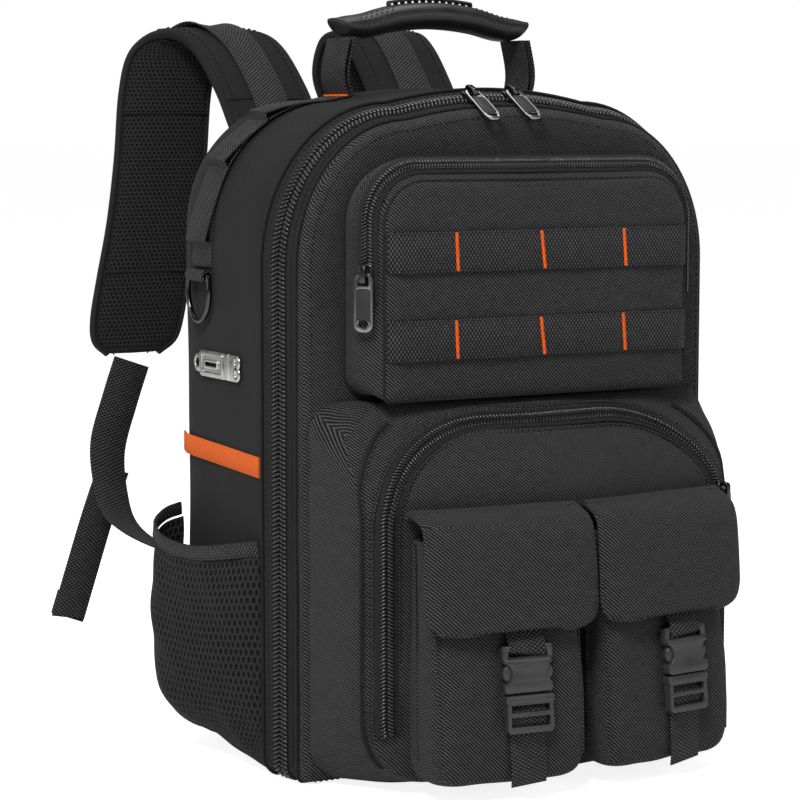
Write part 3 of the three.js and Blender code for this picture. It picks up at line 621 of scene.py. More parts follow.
def curve_through(points: np.ndarray, count: int) -> np.ndarray:
    """Lay a smooth curve through rows of numbers.

    Args:
        points: The rows that it passes through.
        count: How many rows to return.

    Returns:
        Rows at even steps along the curve's parameter.
    """
    rows = np.asarray(points, float)
    steps = np.linspace(0, len(rows) - 1, count)
    base = np.clip(steps.astype(int), 0, len(rows) - 2)
    t = (steps - base)[(...,) + (None,) * (rows.ndim - 1)]
    padded = np.concatenate([[2 * rows[0] - rows[1]], rows, [2 * rows[-1] - rows[-2]]])
    p0, p1, p2, p3 = (padded[base + k] for k in range(4))
    return 0.5 * (2 * p1 + (p2 - p0) * t + (2 * p0 - 5 * p1 + 4 * p2 - p3) * t ** 2
                  + (3 * p1 - p0 - 3 * p2 + p3) * t ** 3)


def unit(rows: np.ndarray) -> np.ndarray:
    """Scale each row to length one."""
    return rows / np.maximum(np.linalg.norm(rows, axis=-1, keepdims=True), 1e-9)


def facing(way: Sequence[float], count: int) -> np.ndarray:
    """The same direction, of length one, for each of a number of points."""
    return np.tile(unit(np.array(way, float)), (count, 1))


def rows_at(x: object, y: object, z: object) -> np.ndarray:
    """Points from their places along each axis, where one number serves all of them."""
    return np.stack(np.broadcast_arrays(np.asarray(x, float), y, z), axis=-1)


def run_along(points: np.ndarray) -> np.ndarray:
    """How far each point lies from the first, along the line."""
    return np.concatenate([[0], np.cumsum(np.linalg.norm(np.diff(points, axis=0), axis=1))])


@dataclass
class Track:
    """A line on the pack with the surface's normal at each point, in millimetres."""

    points: np.ndarray
    normals: np.ndarray
    closed: bool = False
    across: Point | None = None

    def tangents(self) -> np.ndarray:
        """Directions along the line."""
        if self.closed:
            return unit(np.roll(self.points, -1, axis=0) - np.roll(self.points, 1, axis=0))
        return unit(np.gradient(self.points, axis=0))

    def sides(self) -> np.ndarray:
        """Directions across the line, in the surface."""
        if self.across is not None:
            return facing(self.across, len(self.points))
        return unit(np.cross(self.normals, self.tangents()))

    def even(self, step: float) -> "Track":
        """The same line with points at even steps of this many millimetres, and no longer closed."""
        points, normals = self.points, self.normals
        if self.closed:
            points = np.concatenate([points, points[:1]])
            normals = np.concatenate([normals, normals[:1]])
        run = run_along(points)
        at = np.linspace(0, run[-1], max(int(round(run[-1] / step)) + 1, 2))
        points, normals = (
            np.stack([np.interp(at, run, rows[:, k]) for k in range(3)], axis=1)
            for rows in (points, normals)
        )
        return Track(points, unit(normals))

    def moved(self, aside: float = 0.0, up: float = 0.0) -> "Track":
        """The line moved across the surface and off it."""
        return replace(self, points=self.points + self.sides() * aside + self.normals * up)

    def part(self, start: float, stop: float) -> "Track":
        """The stretch between two shares of its points."""
        a, b = int(start * (len(self.points) - 1)), int(stop * (len(self.points) - 1)) + 1
        return replace(self, points=self.points[a:b], normals=self.normals[a:b])


def sweep(name: str, track: Track, section: Sequence[Point2] | np.ndarray) -> bpy.types.Object:
    """Carry a closed section along a track.

    Args:
        name: The piece's name.
        track: The line that it follows.
        section: Places across and off the surface, in millimetres, one list or one list per point.

    Returns:
        The swept piece, with its pattern across and along it.
    """
    shape = np.asarray(section, float)
    if shape.ndim == 2:
        shape = np.repeat(shape[None], len(track.points), axis=0)
    sides, count = track.sides(), shape.shape[1]
    rings = (track.points[:, None] + sides[:, None] * shape[..., :1]
             + track.normals[:, None] * shape[..., 1:])
    rows = len(rings)
    turns = rows if track.closed else rows - 1
    faces = [
        (r * count + i, r * count + (i + 1) % count, ((r + 1) % rows) * count + (i + 1) % count,
         ((r + 1) % rows) * count + i)
        for r in range(turns) for i in range(count)
    ]
    if not track.closed:
        faces += [tuple(range(count))[::-1], tuple((rows - 1) * count + i for i in range(count))]
    piece = mesh_piece(name, rings.reshape(-1, 3), faces)
    around, run = run_along(shape[0]), run_along(track.points)
    layer = piece.data.uv_layers.new(name="Cloth")
    corners = np.array([i for face in faces for i in face])
    uv = np.stack([around[corners % count], run[corners // count]], axis=1) * MM
    layer.data.foreach_set("uv", uv.ravel())
    face_out(piece)
    return piece


def flat_band(width: float, thick: float) -> list[Point2]:
    """Section of webbing with rounded edges, standing on the surface."""
    w, r = width / 2, thick * 0.3
    lower = [(-w, r), (-w + r, 0), (w - r, 0), (w, r)]
    return lower + [(x, thick - z) for x, z in reversed(lower)]


def round_cord(radius: float, sides: int = 8) -> list[Point2]:
    """Section of a round cord centred on the track."""
    turns = [math.tau * k / sides for k in range(sides)]
    return [(radius * math.cos(t), radius * math.sin(t)) for t in turns]


def bead(segments: int, rings: int) -> tuple[np.ndarray, list[tuple[int, ...]]]:
    """Model one small bead of radius one and return its points and faces."""
    deselect()
    bpy.ops.mesh.primitive_uv_sphere_add(segments=segments, ring_count=rings, radius=1)
    made = bpy.context.object
    points = np.array([v.co for v in made.data.vertices])
    faces = [tuple(p.vertices) for p in made.data.polygons]
    bpy.data.objects.remove(made)
    return points, faces


def repeat_along(name: str, template: tuple[np.ndarray, list[tuple[int, ...]]], track: Track,
                 size: Point, lean: float = 0.0) -> bpy.types.Object:
    """Set a copy of a small shape at each point of a track.

    Args:
        name: The piece's name.
        template: Points and faces of the shape.
        track: Where the copies go.
        size: Half lengths across, along and off the surface, in millimetres.
        lean: Degrees that each copy is turned in the surface.

    Returns:
        All copies as one piece.
    """
    shape, faces = template
    turn = math.radians(lean)
    sides, along = track.sides(), track.tangents()
    across = sides * math.cos(turn) + along * math.sin(turn)
    ahead = along * math.cos(turn) - sides * math.sin(turn)
    copies = (track.points[:, None] + across[:, None] * (shape[:, 0] * size[0])[None, :, None]
              + ahead[:, None] * (shape[:, 1] * size[1])[None, :, None]
              + track.normals[:, None] * (shape[:, 2] * size[2])[None, :, None])
    count = len(shape)
    mirrored = np.einsum("ij,ij->i", np.cross(across, ahead), track.normals) < 0
    every = [tuple(i + k * count for i in (reversed(f) if mirrored[k] else f))
             for k in range(len(track.points)) for f in faces]
    return mesh_piece(name, copies.reshape(-1, 3), every)


def stitch(name: str, track: Track, finish: Finish = THREAD, long: float = 3.0, gap: float = 1.4,
           thick: float = 0.42, body: str = PACK) -> bpy.types.Object:
    """Sew a row of stitches along a track and return them."""
    piece = repeat_along(name, bead(5, 4), track.even(long + gap), (thick, long / 2, thick))
    return dress(piece, finish, body)


def strip(name: str, track: Track, section: Sequence[Point2] | np.ndarray, finish: Finish,
          stands_for: Iterable[str] = (), body: str = PACK) -> bpy.types.Object:
    """Sweep a section along a track and dress it, with its pattern along the track.

    Args:
        name: The piece's name.
        track: The line that it follows.
        section: Its section, as for sweep.
        finish: What it is made of.
        stands_for: Solids that it takes the place of.
        body: The moving body that it rides on.

    Returns:
        The dressed piece.
    """
    return dress(sweep(name, track, section), finish, body, stands_for, mapped=False)


def join(name: str, pieces: Sequence[bpy.types.Object]) -> bpy.types.Object:
    """Join pieces into one and name it."""
    deselect()
    for piece in pieces:
        piece.select_set(True)
    bpy.context.view_layer.objects.active = pieces[0]
    bpy.ops.object.join()
    pieces[0].name = pieces[0].data.name = name
    return pieces[0]


def block(name: str, size: Point, centre: Point = (0, 0, 0)) -> bpy.types.Object:
    """Start a hard piece from a block of a size and centre in millimetres."""
    deselect()
    bpy.ops.mesh.primitive_cube_add(size=1, location=[c * MM for c in centre])
    made = bpy.context.object
    made.name = made.data.name = name
    made.scale = [s * MM for s in size]
    bpy.ops.object.transform_apply(location=True, rotation=True, scale=True)
    return made


def rod(name: str, radius: float, length: float, centre: Point = (0, 0, 0), axis: str = "Z",
        sides: int = 32) -> bpy.types.Object:
    """Start a hard piece from a rod along an axis, with its size and centre in millimetres."""
    turned = {"X": (0, math.pi / 2, 0), "Y": (math.pi / 2, 0, 0), "Z": (0, 0, 0)}[axis]
    deselect()
    bpy.ops.mesh.primitive_cylinder_add(
        vertices=sides, radius=radius * MM, depth=length * MM, location=[c * MM for c in centre],
        rotation=turned,
    )
    made = bpy.context.object
    made.name = made.data.name = name
    bpy.ops.object.transform_apply(location=True, rotation=True, scale=True)
    return made


def cut(piece: bpy.types.Object, *tools: bpy.types.Object) -> None:
    """Cut shapes out of a piece and throw the cutting shapes away."""
    for tool in tools:
        modifier = piece.modifiers.new("Cut", "BOOLEAN")
        modifier.operation = "DIFFERENCE"
        modifier.solver = "EXACT"
        modifier.object = tool
        apply_all(piece)
        bpy.data.objects.remove(tool)


def round_corners(piece: bpy.types.Object, axis: int, radius: float, segments: int = 5) -> None:
    """Bevel in edit mode the edges that run along one axis, by a radius in millimetres."""
    make_active(piece)
    bpy.ops.object.mode_set(mode="EDIT")
    bpy.ops.mesh.select_all(action="DESELECT")
    bpy.ops.object.mode_set(mode="OBJECT")
    for edge in piece.data.edges:
        a, b = (piece.data.vertices[i].co for i in edge.vertices)
        edge.select = abs((b - a).normalized()[axis]) > 0.99
    bpy.ops.object.mode_set(mode="EDIT")
    bpy.ops.mesh.select_mode(type="EDGE")
    bpy.ops.mesh.bevel(offset=radius * MM, segments=segments, affect="EDGES")
    bpy.ops.object.mode_set(mode="OBJECT")


def put(piece: bpy.types.Object, x: Point, y: Point, z: Point, at: Point) -> None:
    """Turn a piece's mesh so that its axes run along x, y and z, and carry it to a place in millimetres."""
    turn = Matrix((x, y, z)).transposed().to_4x4()
    piece.data.transform(Matrix.Translation(Vector(at) * MM) @ turn)


def copy_piece(template: bpy.types.Object, name: str) -> bpy.types.Object:
    """Copy a modelled piece with a mesh of its own."""
    made = template.copy()
    made.data = template.data.copy()
    made.name = made.data.name = name
    bpy.context.scene.collection.objects.link(made)
    return made


def wrinkle(piece: bpy.types.Object, depth: float, length: float, seed: int) -> None:
    """Push a piece's points in and out in soft folds.

    Args:
        piece: The piece.
        depth: How far the folds reach, in millimetres.
        length: How far apart they lie, in millimetres.
        seed: Which set of folds.
    """
    data = piece.data
    points, normals = np.empty(len(data.vertices) * 3), np.empty(len(data.vertices) * 3)
    data.vertices.foreach_get("co", points)
    data.vertices.foreach_get("normal", normals)
    points, normals = points.reshape(-1, 3), normals.reshape(-1, 3)
    chance = np.random.default_rng(seed)
    total = np.zeros(len(points))
    for octave in range(7):
        way = unit(chance.normal(size=3))
        wave = math.tau / (length * MM * chance.uniform(0.5, 1.8))
        total += np.sin(points @ way * wave + chance.uniform(0, math.tau)) / 7 * 2
    data.vertices.foreach_set("co", (points + normals * (total * depth * MM)[:, None]).ravel())
    data.update()


# Shapes of the pack

COUNTS = {"base": 8, "foot": 8, "side": 20, "corner": 24, "crown": 14}
HALF_RING = sum(COUNTS.values())
RING = 2 * HALF_RING


@dataclass(frozen=True)
class Outline:
    """A rounded outline seen from the front, in millimetres, and how far back it stands."""

    half: float
    low: float
    high: float
    corner_x: float
    corner_z: float
    foot: float
    crown: float = 0.0
    level: float = 0.0

    def inset(self, d: float) -> "Outline":
        """The outline moved inwards by d."""
        return replace(
            self, half=self.half - d, low=self.low + d, high=self.high - d,
            corner_x=max(self.corner_x - d, 1), corner_z=max(self.corner_z - d, 1),
            foot=max(self.foot - d, 1),
        )

    def shrink(self, k: float) -> "Outline":
        """The outline drawn towards its middle by a share k."""
        middle = (self.low + self.high) / 2
        return replace(
            self, half=self.half * k, low=middle + (self.low - middle) * k,
            high=middle + (self.high - middle) * k, corner_x=self.corner_x * k, corner_z=self.corner_z * k,
            foot=self.foot * k, crown=self.crown * k,
        )

    def toward(self, other: "Outline", t: float) -> "Outline":
        """The outline a share t of the way to another."""
        return Outline(*(
            getattr(self, f) + (getattr(other, f) - getattr(self, f)) * t for f in self.__dataclass_fields__
        ))

    def flat(self) -> np.ndarray:
        """Points across and up, from the middle of the base round the right side to the top, and back."""
        shoulder, eaves = self.half - self.corner_x, self.high - self.crown
        base = [((self.half - self.foot) * t, self.low) for t in np.linspace(0, 1, COUNTS["base"] + 1)]
        foot = [
            (self.half - self.foot + self.foot * math.sin(a), self.low + self.foot - self.foot * math.cos(a))
            for a in np.linspace(0, math.pi / 2, COUNTS["foot"] + 1)[1:]
        ]
        heights = np.linspace(self.low + self.foot, eaves - self.corner_z, COUNTS["side"] + 1)
        side = [(self.half, z) for z in heights[1:]]
        corner = [
            (shoulder + self.corner_x * math.cos(a), eaves - self.corner_z + self.corner_z * math.sin(a))
            for a in np.linspace(0, math.pi / 2, COUNTS["corner"] + 1)[1:]
        ]
        crown = [
            (x, self.high - self.crown * (x / max(shoulder, 1)) ** 2)
            for x in np.linspace(shoulder, 0, COUNTS["crown"] + 1)[1:]
        ]
        right = base + foot + side + corner + crown
        return np.array(right + [(-x, z) for x, z in right[-2:0:-1]])

    def ring(self) -> np.ndarray:
        """Points in space at the outline's own depth."""
        flat = self.flat()
        return rows_at(flat[:, 0], self.level, flat[:, 1])


Warp = Callable[[np.ndarray], np.ndarray]


def unchanged(points: np.ndarray) -> np.ndarray:
    """Leave points where they are."""
    return points


def fill_rows(rows: Sequence[Outline], step: float = 9.0) -> list[Outline]:
    """Add rows between given ones, so that none lie further apart than step millimetres of depth or inset."""
    filled = [rows[0]]
    for a, b in zip(rows, rows[1:]):
        far = math.hypot(b.level - a.level, b.half - a.half)
        count = max(1, round(far / step))
        filled += [a.toward(b, k / count) for k in range(1, count + 1)]
    return filled


def face_rows(edge: Outline, puff: float, rings: int = 9) -> list[Outline]:
    """Rows that close a face inside its edge, swelling forwards by puff millimetres in the middle."""
    shares = [1 - (k / rings) for k in range(1, rings)]
    return [replace(edge.shrink(k), level=edge.level - puff * (1 - k ** 2.2)) for k in shares]


def between(a: Outline, b: Outline, share: float, lift: float = 0.0, warp: Warp = unchanged,
            first: int = 0, last: int | None = None) -> Track:
    """Lay a track on the wall between two rows.

    Args:
        a: The row behind.
        b: The row in front or further in.
        share: How far from the first row to the second.
        lift: How far off the wall, in millimetres.
        warp: What bends the wall.
        first: The ring's point that it starts at.
        last: The ring's point that it ends at; a whole loop where there is none.

    Returns:
        The track, with normals that point off the wall.
    """
    ring_a, ring_b = warp(a.ring()), warp(b.ring())
    points = ring_a + (ring_b - ring_a) * share
    along = np.roll(points, -1, axis=0) - np.roll(points, 1, axis=0)
    normals = unit(np.cross(along, ring_b - ring_a))
    points = points + normals * lift
    if last is None:
        return Track(points, normals, closed=True)
    return Track(points[first:last + 1], normals[first:last + 1])


def seam_edge(edge: Outline) -> Track:
    """A loop along a row itself, with normals straight away from its middle and forwards."""
    return between(edge, replace(edge.inset(4), level=edge.level - 4), 0.0)


@dataclass(frozen=True)
class Zipper:
    """A coil zipper: the size of its teeth and of the tape on either side."""

    name: str
    tooth: Point
    pitch: float
    tape: float
    lean: float = 24.0
    spread: float = 0.78
    cloth: float = 0.9
    sunk: float = 0.55

    def lay(self, track: Track, stands_for: Sequence[str] = ()) -> None:
        """Lay the tape and both rows of teeth along a track."""
        strip(f"{self.name}_tape", track.even(4.0), flat_band(self.tape, self.cloth), TAPE, stands_for)
        for hand, name in ((-1, "a"), (1, "b")):
            row = track.moved(hand * self.tooth[0] * self.spread, self.cloth + self.tooth[2] * self.sunk)
            row = Track(row.points, row.normals, row.closed).even(self.pitch)
            if hand > 0:
                normals = unit(row.normals[1:] + row.normals[:-1])
                row = Track((row.points[1:] + row.points[:-1]) / 2, normals)
            teeth = repeat_along(f"{self.name}_teeth_{name}", bead(7, 5), row, self.tooth, hand * self.lean)
            dress(teeth, COIL, angle=80)


@dataclass(frozen=True)
class BodyShape:
    """The main compartment's outline, which is tighter at its top corners towards the back."""

    front: Outline = Outline(171, 0, 457, 93, 108, 16, 9)
    rear_corner: Point = (78, 88, 34)
    base_inset: float = 0.12
    tape: float = -43
    straight: float = 65.4
    seam: float = -71
    seam_inset: float = 11

    def row(self, d: float, y: float) -> Outline:
        """The outline at a depth, moved inwards by d."""
        share = min(1.0, max(0.0, (y - self.tape) / (self.straight - self.tape)))
        corner_x, corner_z, foot = (
            a + (b - a) * share
            for a, b in zip((self.front.corner_x, self.front.corner_z, self.front.foot), self.rear_corner)
        )
        shape = replace(self.front, corner_x=corner_x, corner_z=corner_z, foot=foot).inset(d)
        return replace(shape, low=d * self.base_inset, level=y)

    def band(self, y: float) -> Outline:
        """The outline on the slope that carries the zipper."""
        return self.row(self.seam_inset * (self.tape - y) / (self.tape - self.seam), y)

    def top_at(self, x: float, y: float) -> float:
        """Height of the top panel at a place."""
        shape = self.row(0, y)
        return shape.high - shape.crown * (x / (shape.half - shape.corner_x)) ** 2


BODY = BodyShape()


@dataclass
class MainCompartment:
    """Back shell, front shell and the zipper round the whole bag."""

    back: float = 92
    round: float = 14
    face: float = -80
    face_inset: float = 20
    wall: float = 3.5
    puff: float = 1.6
    lip: float = 1.25
    shoulder: Point2 = (15.6, -78.2)

    def shells(self) -> None:
        """Build both padded shells."""
        edge = BODY.row(self.round * 2, self.back)
        closing = [replace(edge.shrink(k), level=self.back) for k in (0.15, 0.35, 0.55, 0.75, 0.9)]
        rows = closing + fill_rows([
            edge, BODY.row(self.round * 0.85, self.back - self.round * 0.14),
            BODY.row(self.round * 0.25, self.back - self.round * 0.7), BODY.row(0, BODY.straight),
            BODY.row(-0.8, (BODY.straight + BODY.tape) / 2), BODY.row(0, BODY.tape + 2.5),
            BODY.row(0.2, BODY.tape + 0.6), BODY.row(2.2, BODY.tape),
        ], 12)
        shell = loft("back_cloth", [row.ring() for row in rows], close_first=True)
        soften(shell, 1)
        wrinkle(shell, 0.7, 90, 3)
        thicken(shell, self.wall)
        dress(shell, SIDE_CLOTH, stands_for=["back_shell"])
        rows = fill_rows([
            BODY.row(BODY.seam_inset + 2.5, BODY.seam + 0.6), BODY.row(BODY.seam_inset, BODY.seam - 0.6),
            BODY.row(12.8, -75), BODY.row(*self.shoulder), BODY.row(self.face_inset, self.face),
        ], 6) + face_rows(BODY.row(self.face_inset, self.face), 0.0)
        front = loft("front_cloth", [row.ring() for row in rows], close_last=True)
        soften(front, 1)
        wrinkle(front, 0.3, 110, 5)
        thicken(front, self.wall)
        dress(front, TWILL, stands_for=["front_shell"])

    def zipper(self) -> None:
        """Lay the zipper between the shells, with its seams on either side."""
        rear, fore = BODY.band(BODY.tape), BODY.band(BODY.seam)
        tapes = between(rear, fore, 0.5, -1.6)
        Zipper("main_zip", (4.2, 1.25, 1.35), 2.95, 28.5).lay(tapes, ["main_zipper"])
        for share, name in ((0.0, "rear"), (1.0, "fore")):
            strip(f"main_seam_{name}", between(rear, fore, share, 0.2), round_cord(self.lip), SIDE_CLOTH)
        for share, name in ((0.15, "rear"), (0.86, "fore")):
            stitch(f"main_stitch_{name}", between(rear, fore, share, -0.6))
        inner = BODY.row(self.face_inset + 1, self.face)
        stitch("front_stitch", between(BODY.row(*self.shoulder), inner, 0.5, 0.15), long=2.8)

    def build(self) -> None:
        """Build the main compartment."""
        self.shells()
        self.zipper()


@dataclass
class UpperPocket:
    """Pocket with a zipper on its gusset and two rows of webbing for pouches."""

    shape: Outline = Outline(130, 257.5, 410, 42, 42, 16)
    seam_inset: float = 12.5
    zip: float = -98
    seam: float = -113
    face: float = -117
    rows_at: tuple[float, float] = (351.5, 294.5)
    webbing: float = 26.5
    tacks: tuple[float, ...] = (-67, -1, 64)
    zip_start: int = 26
    start: float = -80.4
    slants: tuple[float, ...] = (0.6, 1.4, 0.9)

    def front(self) -> Outline:
        """The row at the seam of the face."""
        return replace(self.shape.inset(self.seam_inset), low=self.shape.low - 2, level=self.seam)

    def zip_row(self) -> Outline:
        """The row behind the zipper."""
        return replace(self.shape.inset(1), high=self.shape.high + 3, level=self.zip)

    def bag(self) -> None:
        """Build the pocket's cloth."""
        seam = self.front()
        rows = fill_rows([
            replace(self.shape, level=self.start),
            replace(self.shape.inset(0.2), high=self.shape.high + 2, level=-90),
            self.zip_row(), seam, replace(seam.inset(1.2), level=self.seam - 1.6),
            replace(seam.inset(4), level=self.seam - 3.1), replace(seam.inset(9), level=self.face),
        ], 7) + face_rows(replace(seam.inset(9), level=self.face), 0.8)
        pocket = loft("upper_pocket_cloth", [row.ring() for row in rows], close_last=True)
        soften(pocket, 1)
        wrinkle(pocket, 0.45, 70, 11)
        thicken(pocket, 2.0)
        dress(pocket, TWILL, stands_for=["upper_pocket"])

    def seams(self) -> None:
        """Lay the zipper, the piping of the face and the stitching."""
        rear, fore = self.zip_row(), self.front()
        span = {"first": self.zip_start, "last": RING - self.zip_start}
        chain = between(rear, fore, 0.4, 0.5, **span)
        Zipper("upper_zip", (2.8, 0.92, 1.0), 2.25, 14.5).lay(chain, ["upper_zipper"])
        strip("upper_piping", seam_edge(fore), round_cord(1.15), SIDE_CLOTH)
        back = between(replace(self.shape, level=self.start), rear, 0.1, 0.2)
        strip("upper_back_piping", back, round_cord(1.1), SIDE_CLOTH)
        stitch("upper_gusset_stitch", between(rear, fore, -0.12, 0.3, **span))
        inner = replace(fore.inset(9), level=self.face)
        stitch("upper_face_stitch", between(fore, inner, 0.45, 0.3), long=2.6)

    def webbing_rows(self) -> None:
        """Sew the two rows of webbing with their bright bar tacks."""
        seam = self.front()
        reach = seam.half - 1
        for z, name in zip(self.rows_at, ("upper", "lower")):
            xs = np.linspace(-reach, reach, 121)
            edges = [-reach, *self.tacks, reach]
            lift = np.zeros(len(xs))
            for a, b in zip(edges, edges[1:]):
                inside = (xs >= a) & (xs <= b)
                lift[inside] = 0.9 * np.abs(np.sin(np.pi * (xs[inside] - a) / (b - a))) ** 0.7
            fall = np.clip((np.abs(xs) - (seam.half - 9)) / 9, 0, 1) * (self.seam - self.face)
            y = self.face - 1.1 - lift + fall
            track = Track(rows_at(xs, y, z), facing((0, -1, 0), len(xs)))
            strip(f"molle_{name}", track, flat_band(self.webbing, 1.6), WEBBING, [f"molle_row_{name}"])
            for side, end in ((-1, "low"), (1, "high")):
                stitch(f"molle_stitch_{name}_{end}", track.moved(side * 11.6, 1.5), thick=0.3)
            for k, (x, slant) in enumerate(zip(self.tacks, self.slants)):
                low, high = z - 11.8, z + 11.8
                rise = np.linspace(low, high, 18)
                across = x + slant * (0.5 - (rise - low) / (high - low)) * 2
                line = Track(rows_at(across, self.face - 2.9, rise), facing((0, -1, 0), 18))
                dress(repeat_along(f"tack_{name}_{k}", bead(7, 5), line, (1.5, 0.95, 0.7), 14), ORANGE_THREAD)

    def build(self) -> None:
        """Build the upper pocket."""
        self.bag()
        self.seams()
        self.webbing_rows()


@dataclass
class LowerCompartment:
    """Large front compartment, whose face is a low roof that leans back at the top."""

    shape: Outline = Outline(150, 2, 253, 44, 44, 52)
    edge: float = -122
    face: float = -138
    ridge: float = 17
    lean: float = 40
    lean_from: float = 192
    field: Outline = Outline(129, 18, 241, 86, 62, 31.2)
    tape: float = 9.9

    def roof(self, points: np.ndarray) -> np.ndarray:
        """Bend points of an upright pocket to the ridge and the leaning top."""
        x, y, z = points[:, 0], points[:, 1], points[:, 2]
        forward = np.clip((-80 - y) / (-80 - self.face), 0, 1)
        above = np.maximum(0, (z - self.lean_from) / (self.shape.high - self.lean_from)) ** 1.5
        ridge = self.ridge * (1 - np.sqrt(x ** 2 + 36) / self.shape.half)
        return rows_at(x, y + forward * (self.lean * above - ridge), z)

    def rim_row(self) -> Outline:
        """The row where the gusset turns to the face."""
        return replace(self.shape.inset(4), high=self.shape.high, level=self.edge)

    def zip_rows(self) -> tuple[Outline, Outline]:
        """The rows outside and inside the zipper's field."""
        outer = replace(self.field.inset(-self.tape), high=self.field.high + 7,
                        level=self.edge + (self.face - self.edge) * 0.65)
        return outer, replace(self.field.inset(self.tape), level=self.face)

    def bag(self) -> None:
        """Build the compartment's cloth."""
        outer, inner = self.zip_rows()
        shape = self.shape
        rows = fill_rows([
            replace(shape, half=155, corner_x=20, corner_z=20, foot=26, level=-79.6),
            replace(shape, half=154, corner_x=26, corner_z=24, foot=34, level=-91),
            replace(shape, half=151, corner_x=36, corner_z=34, foot=44, level=-106),
            self.rim_row(), outer, inner,
        ], 8) + face_rows(inner, 0.0, 14)
        cloth = loft("lower_compartment_cloth", [self.roof(row.ring()) for row in rows], close_last=True)
        soften(cloth, 1)
        wrinkle(cloth, 0.6, 80, 21)
        thicken(cloth, 2.0)
        dress(cloth, TWILL, stands_for=["lower_compartment"])

    def seams(self) -> None:
        """Lay the zipper and the stitched lines on either side."""
        outer, inner = self.zip_rows()
        start = COUNTS["base"] + COUNTS["foot"] - 1
        span = {"warp": self.roof, "first": start, "last": RING - start}
        chain = between(outer, inner, 0.475, 0.5, **span)
        Zipper("lower_zip", (3.1, 0.98, 1.05), 2.4, 15.5).lay(chain, ["lower_zipper"])
        for share, name in ((-0.02, "outer"), (0.92, "inner")):
            stitch(f"lower_stitch_{name}", between(outer, inner, share, 0.35, **span), long=2.8)
        for share, name in ((0.04, "outer"), (0.86, "inner")):
            fold = between(outer, inner, share, 0.1, **span).even(5)
            strip(f"lower_fold_{name}", fold, round_cord(0.9, 6), TWILL)
        low, high = COUNTS["foot"] + 4, COUNTS["crown"] + 9
        for name, first, last in (("left", HALF_RING + high, RING - low), ("right", low, HALF_RING - high)):
            line = between(self.rim_row(), outer, 0.5, 0.1, self.roof, first, last)
            strip(f"lower_gusset_{name}", line.moved(0, 0.5).even(5), round_cord(1.5, 6), SIDE_CLOTH)
            stitch(f"lower_gusset_stitch_{name}", line.moved(3.0, 0.8), long=2.8)

    def build(self) -> None:
        """Build the lower compartment."""
        self.bag()
        self.seams()


LOWER = LowerCompartment()


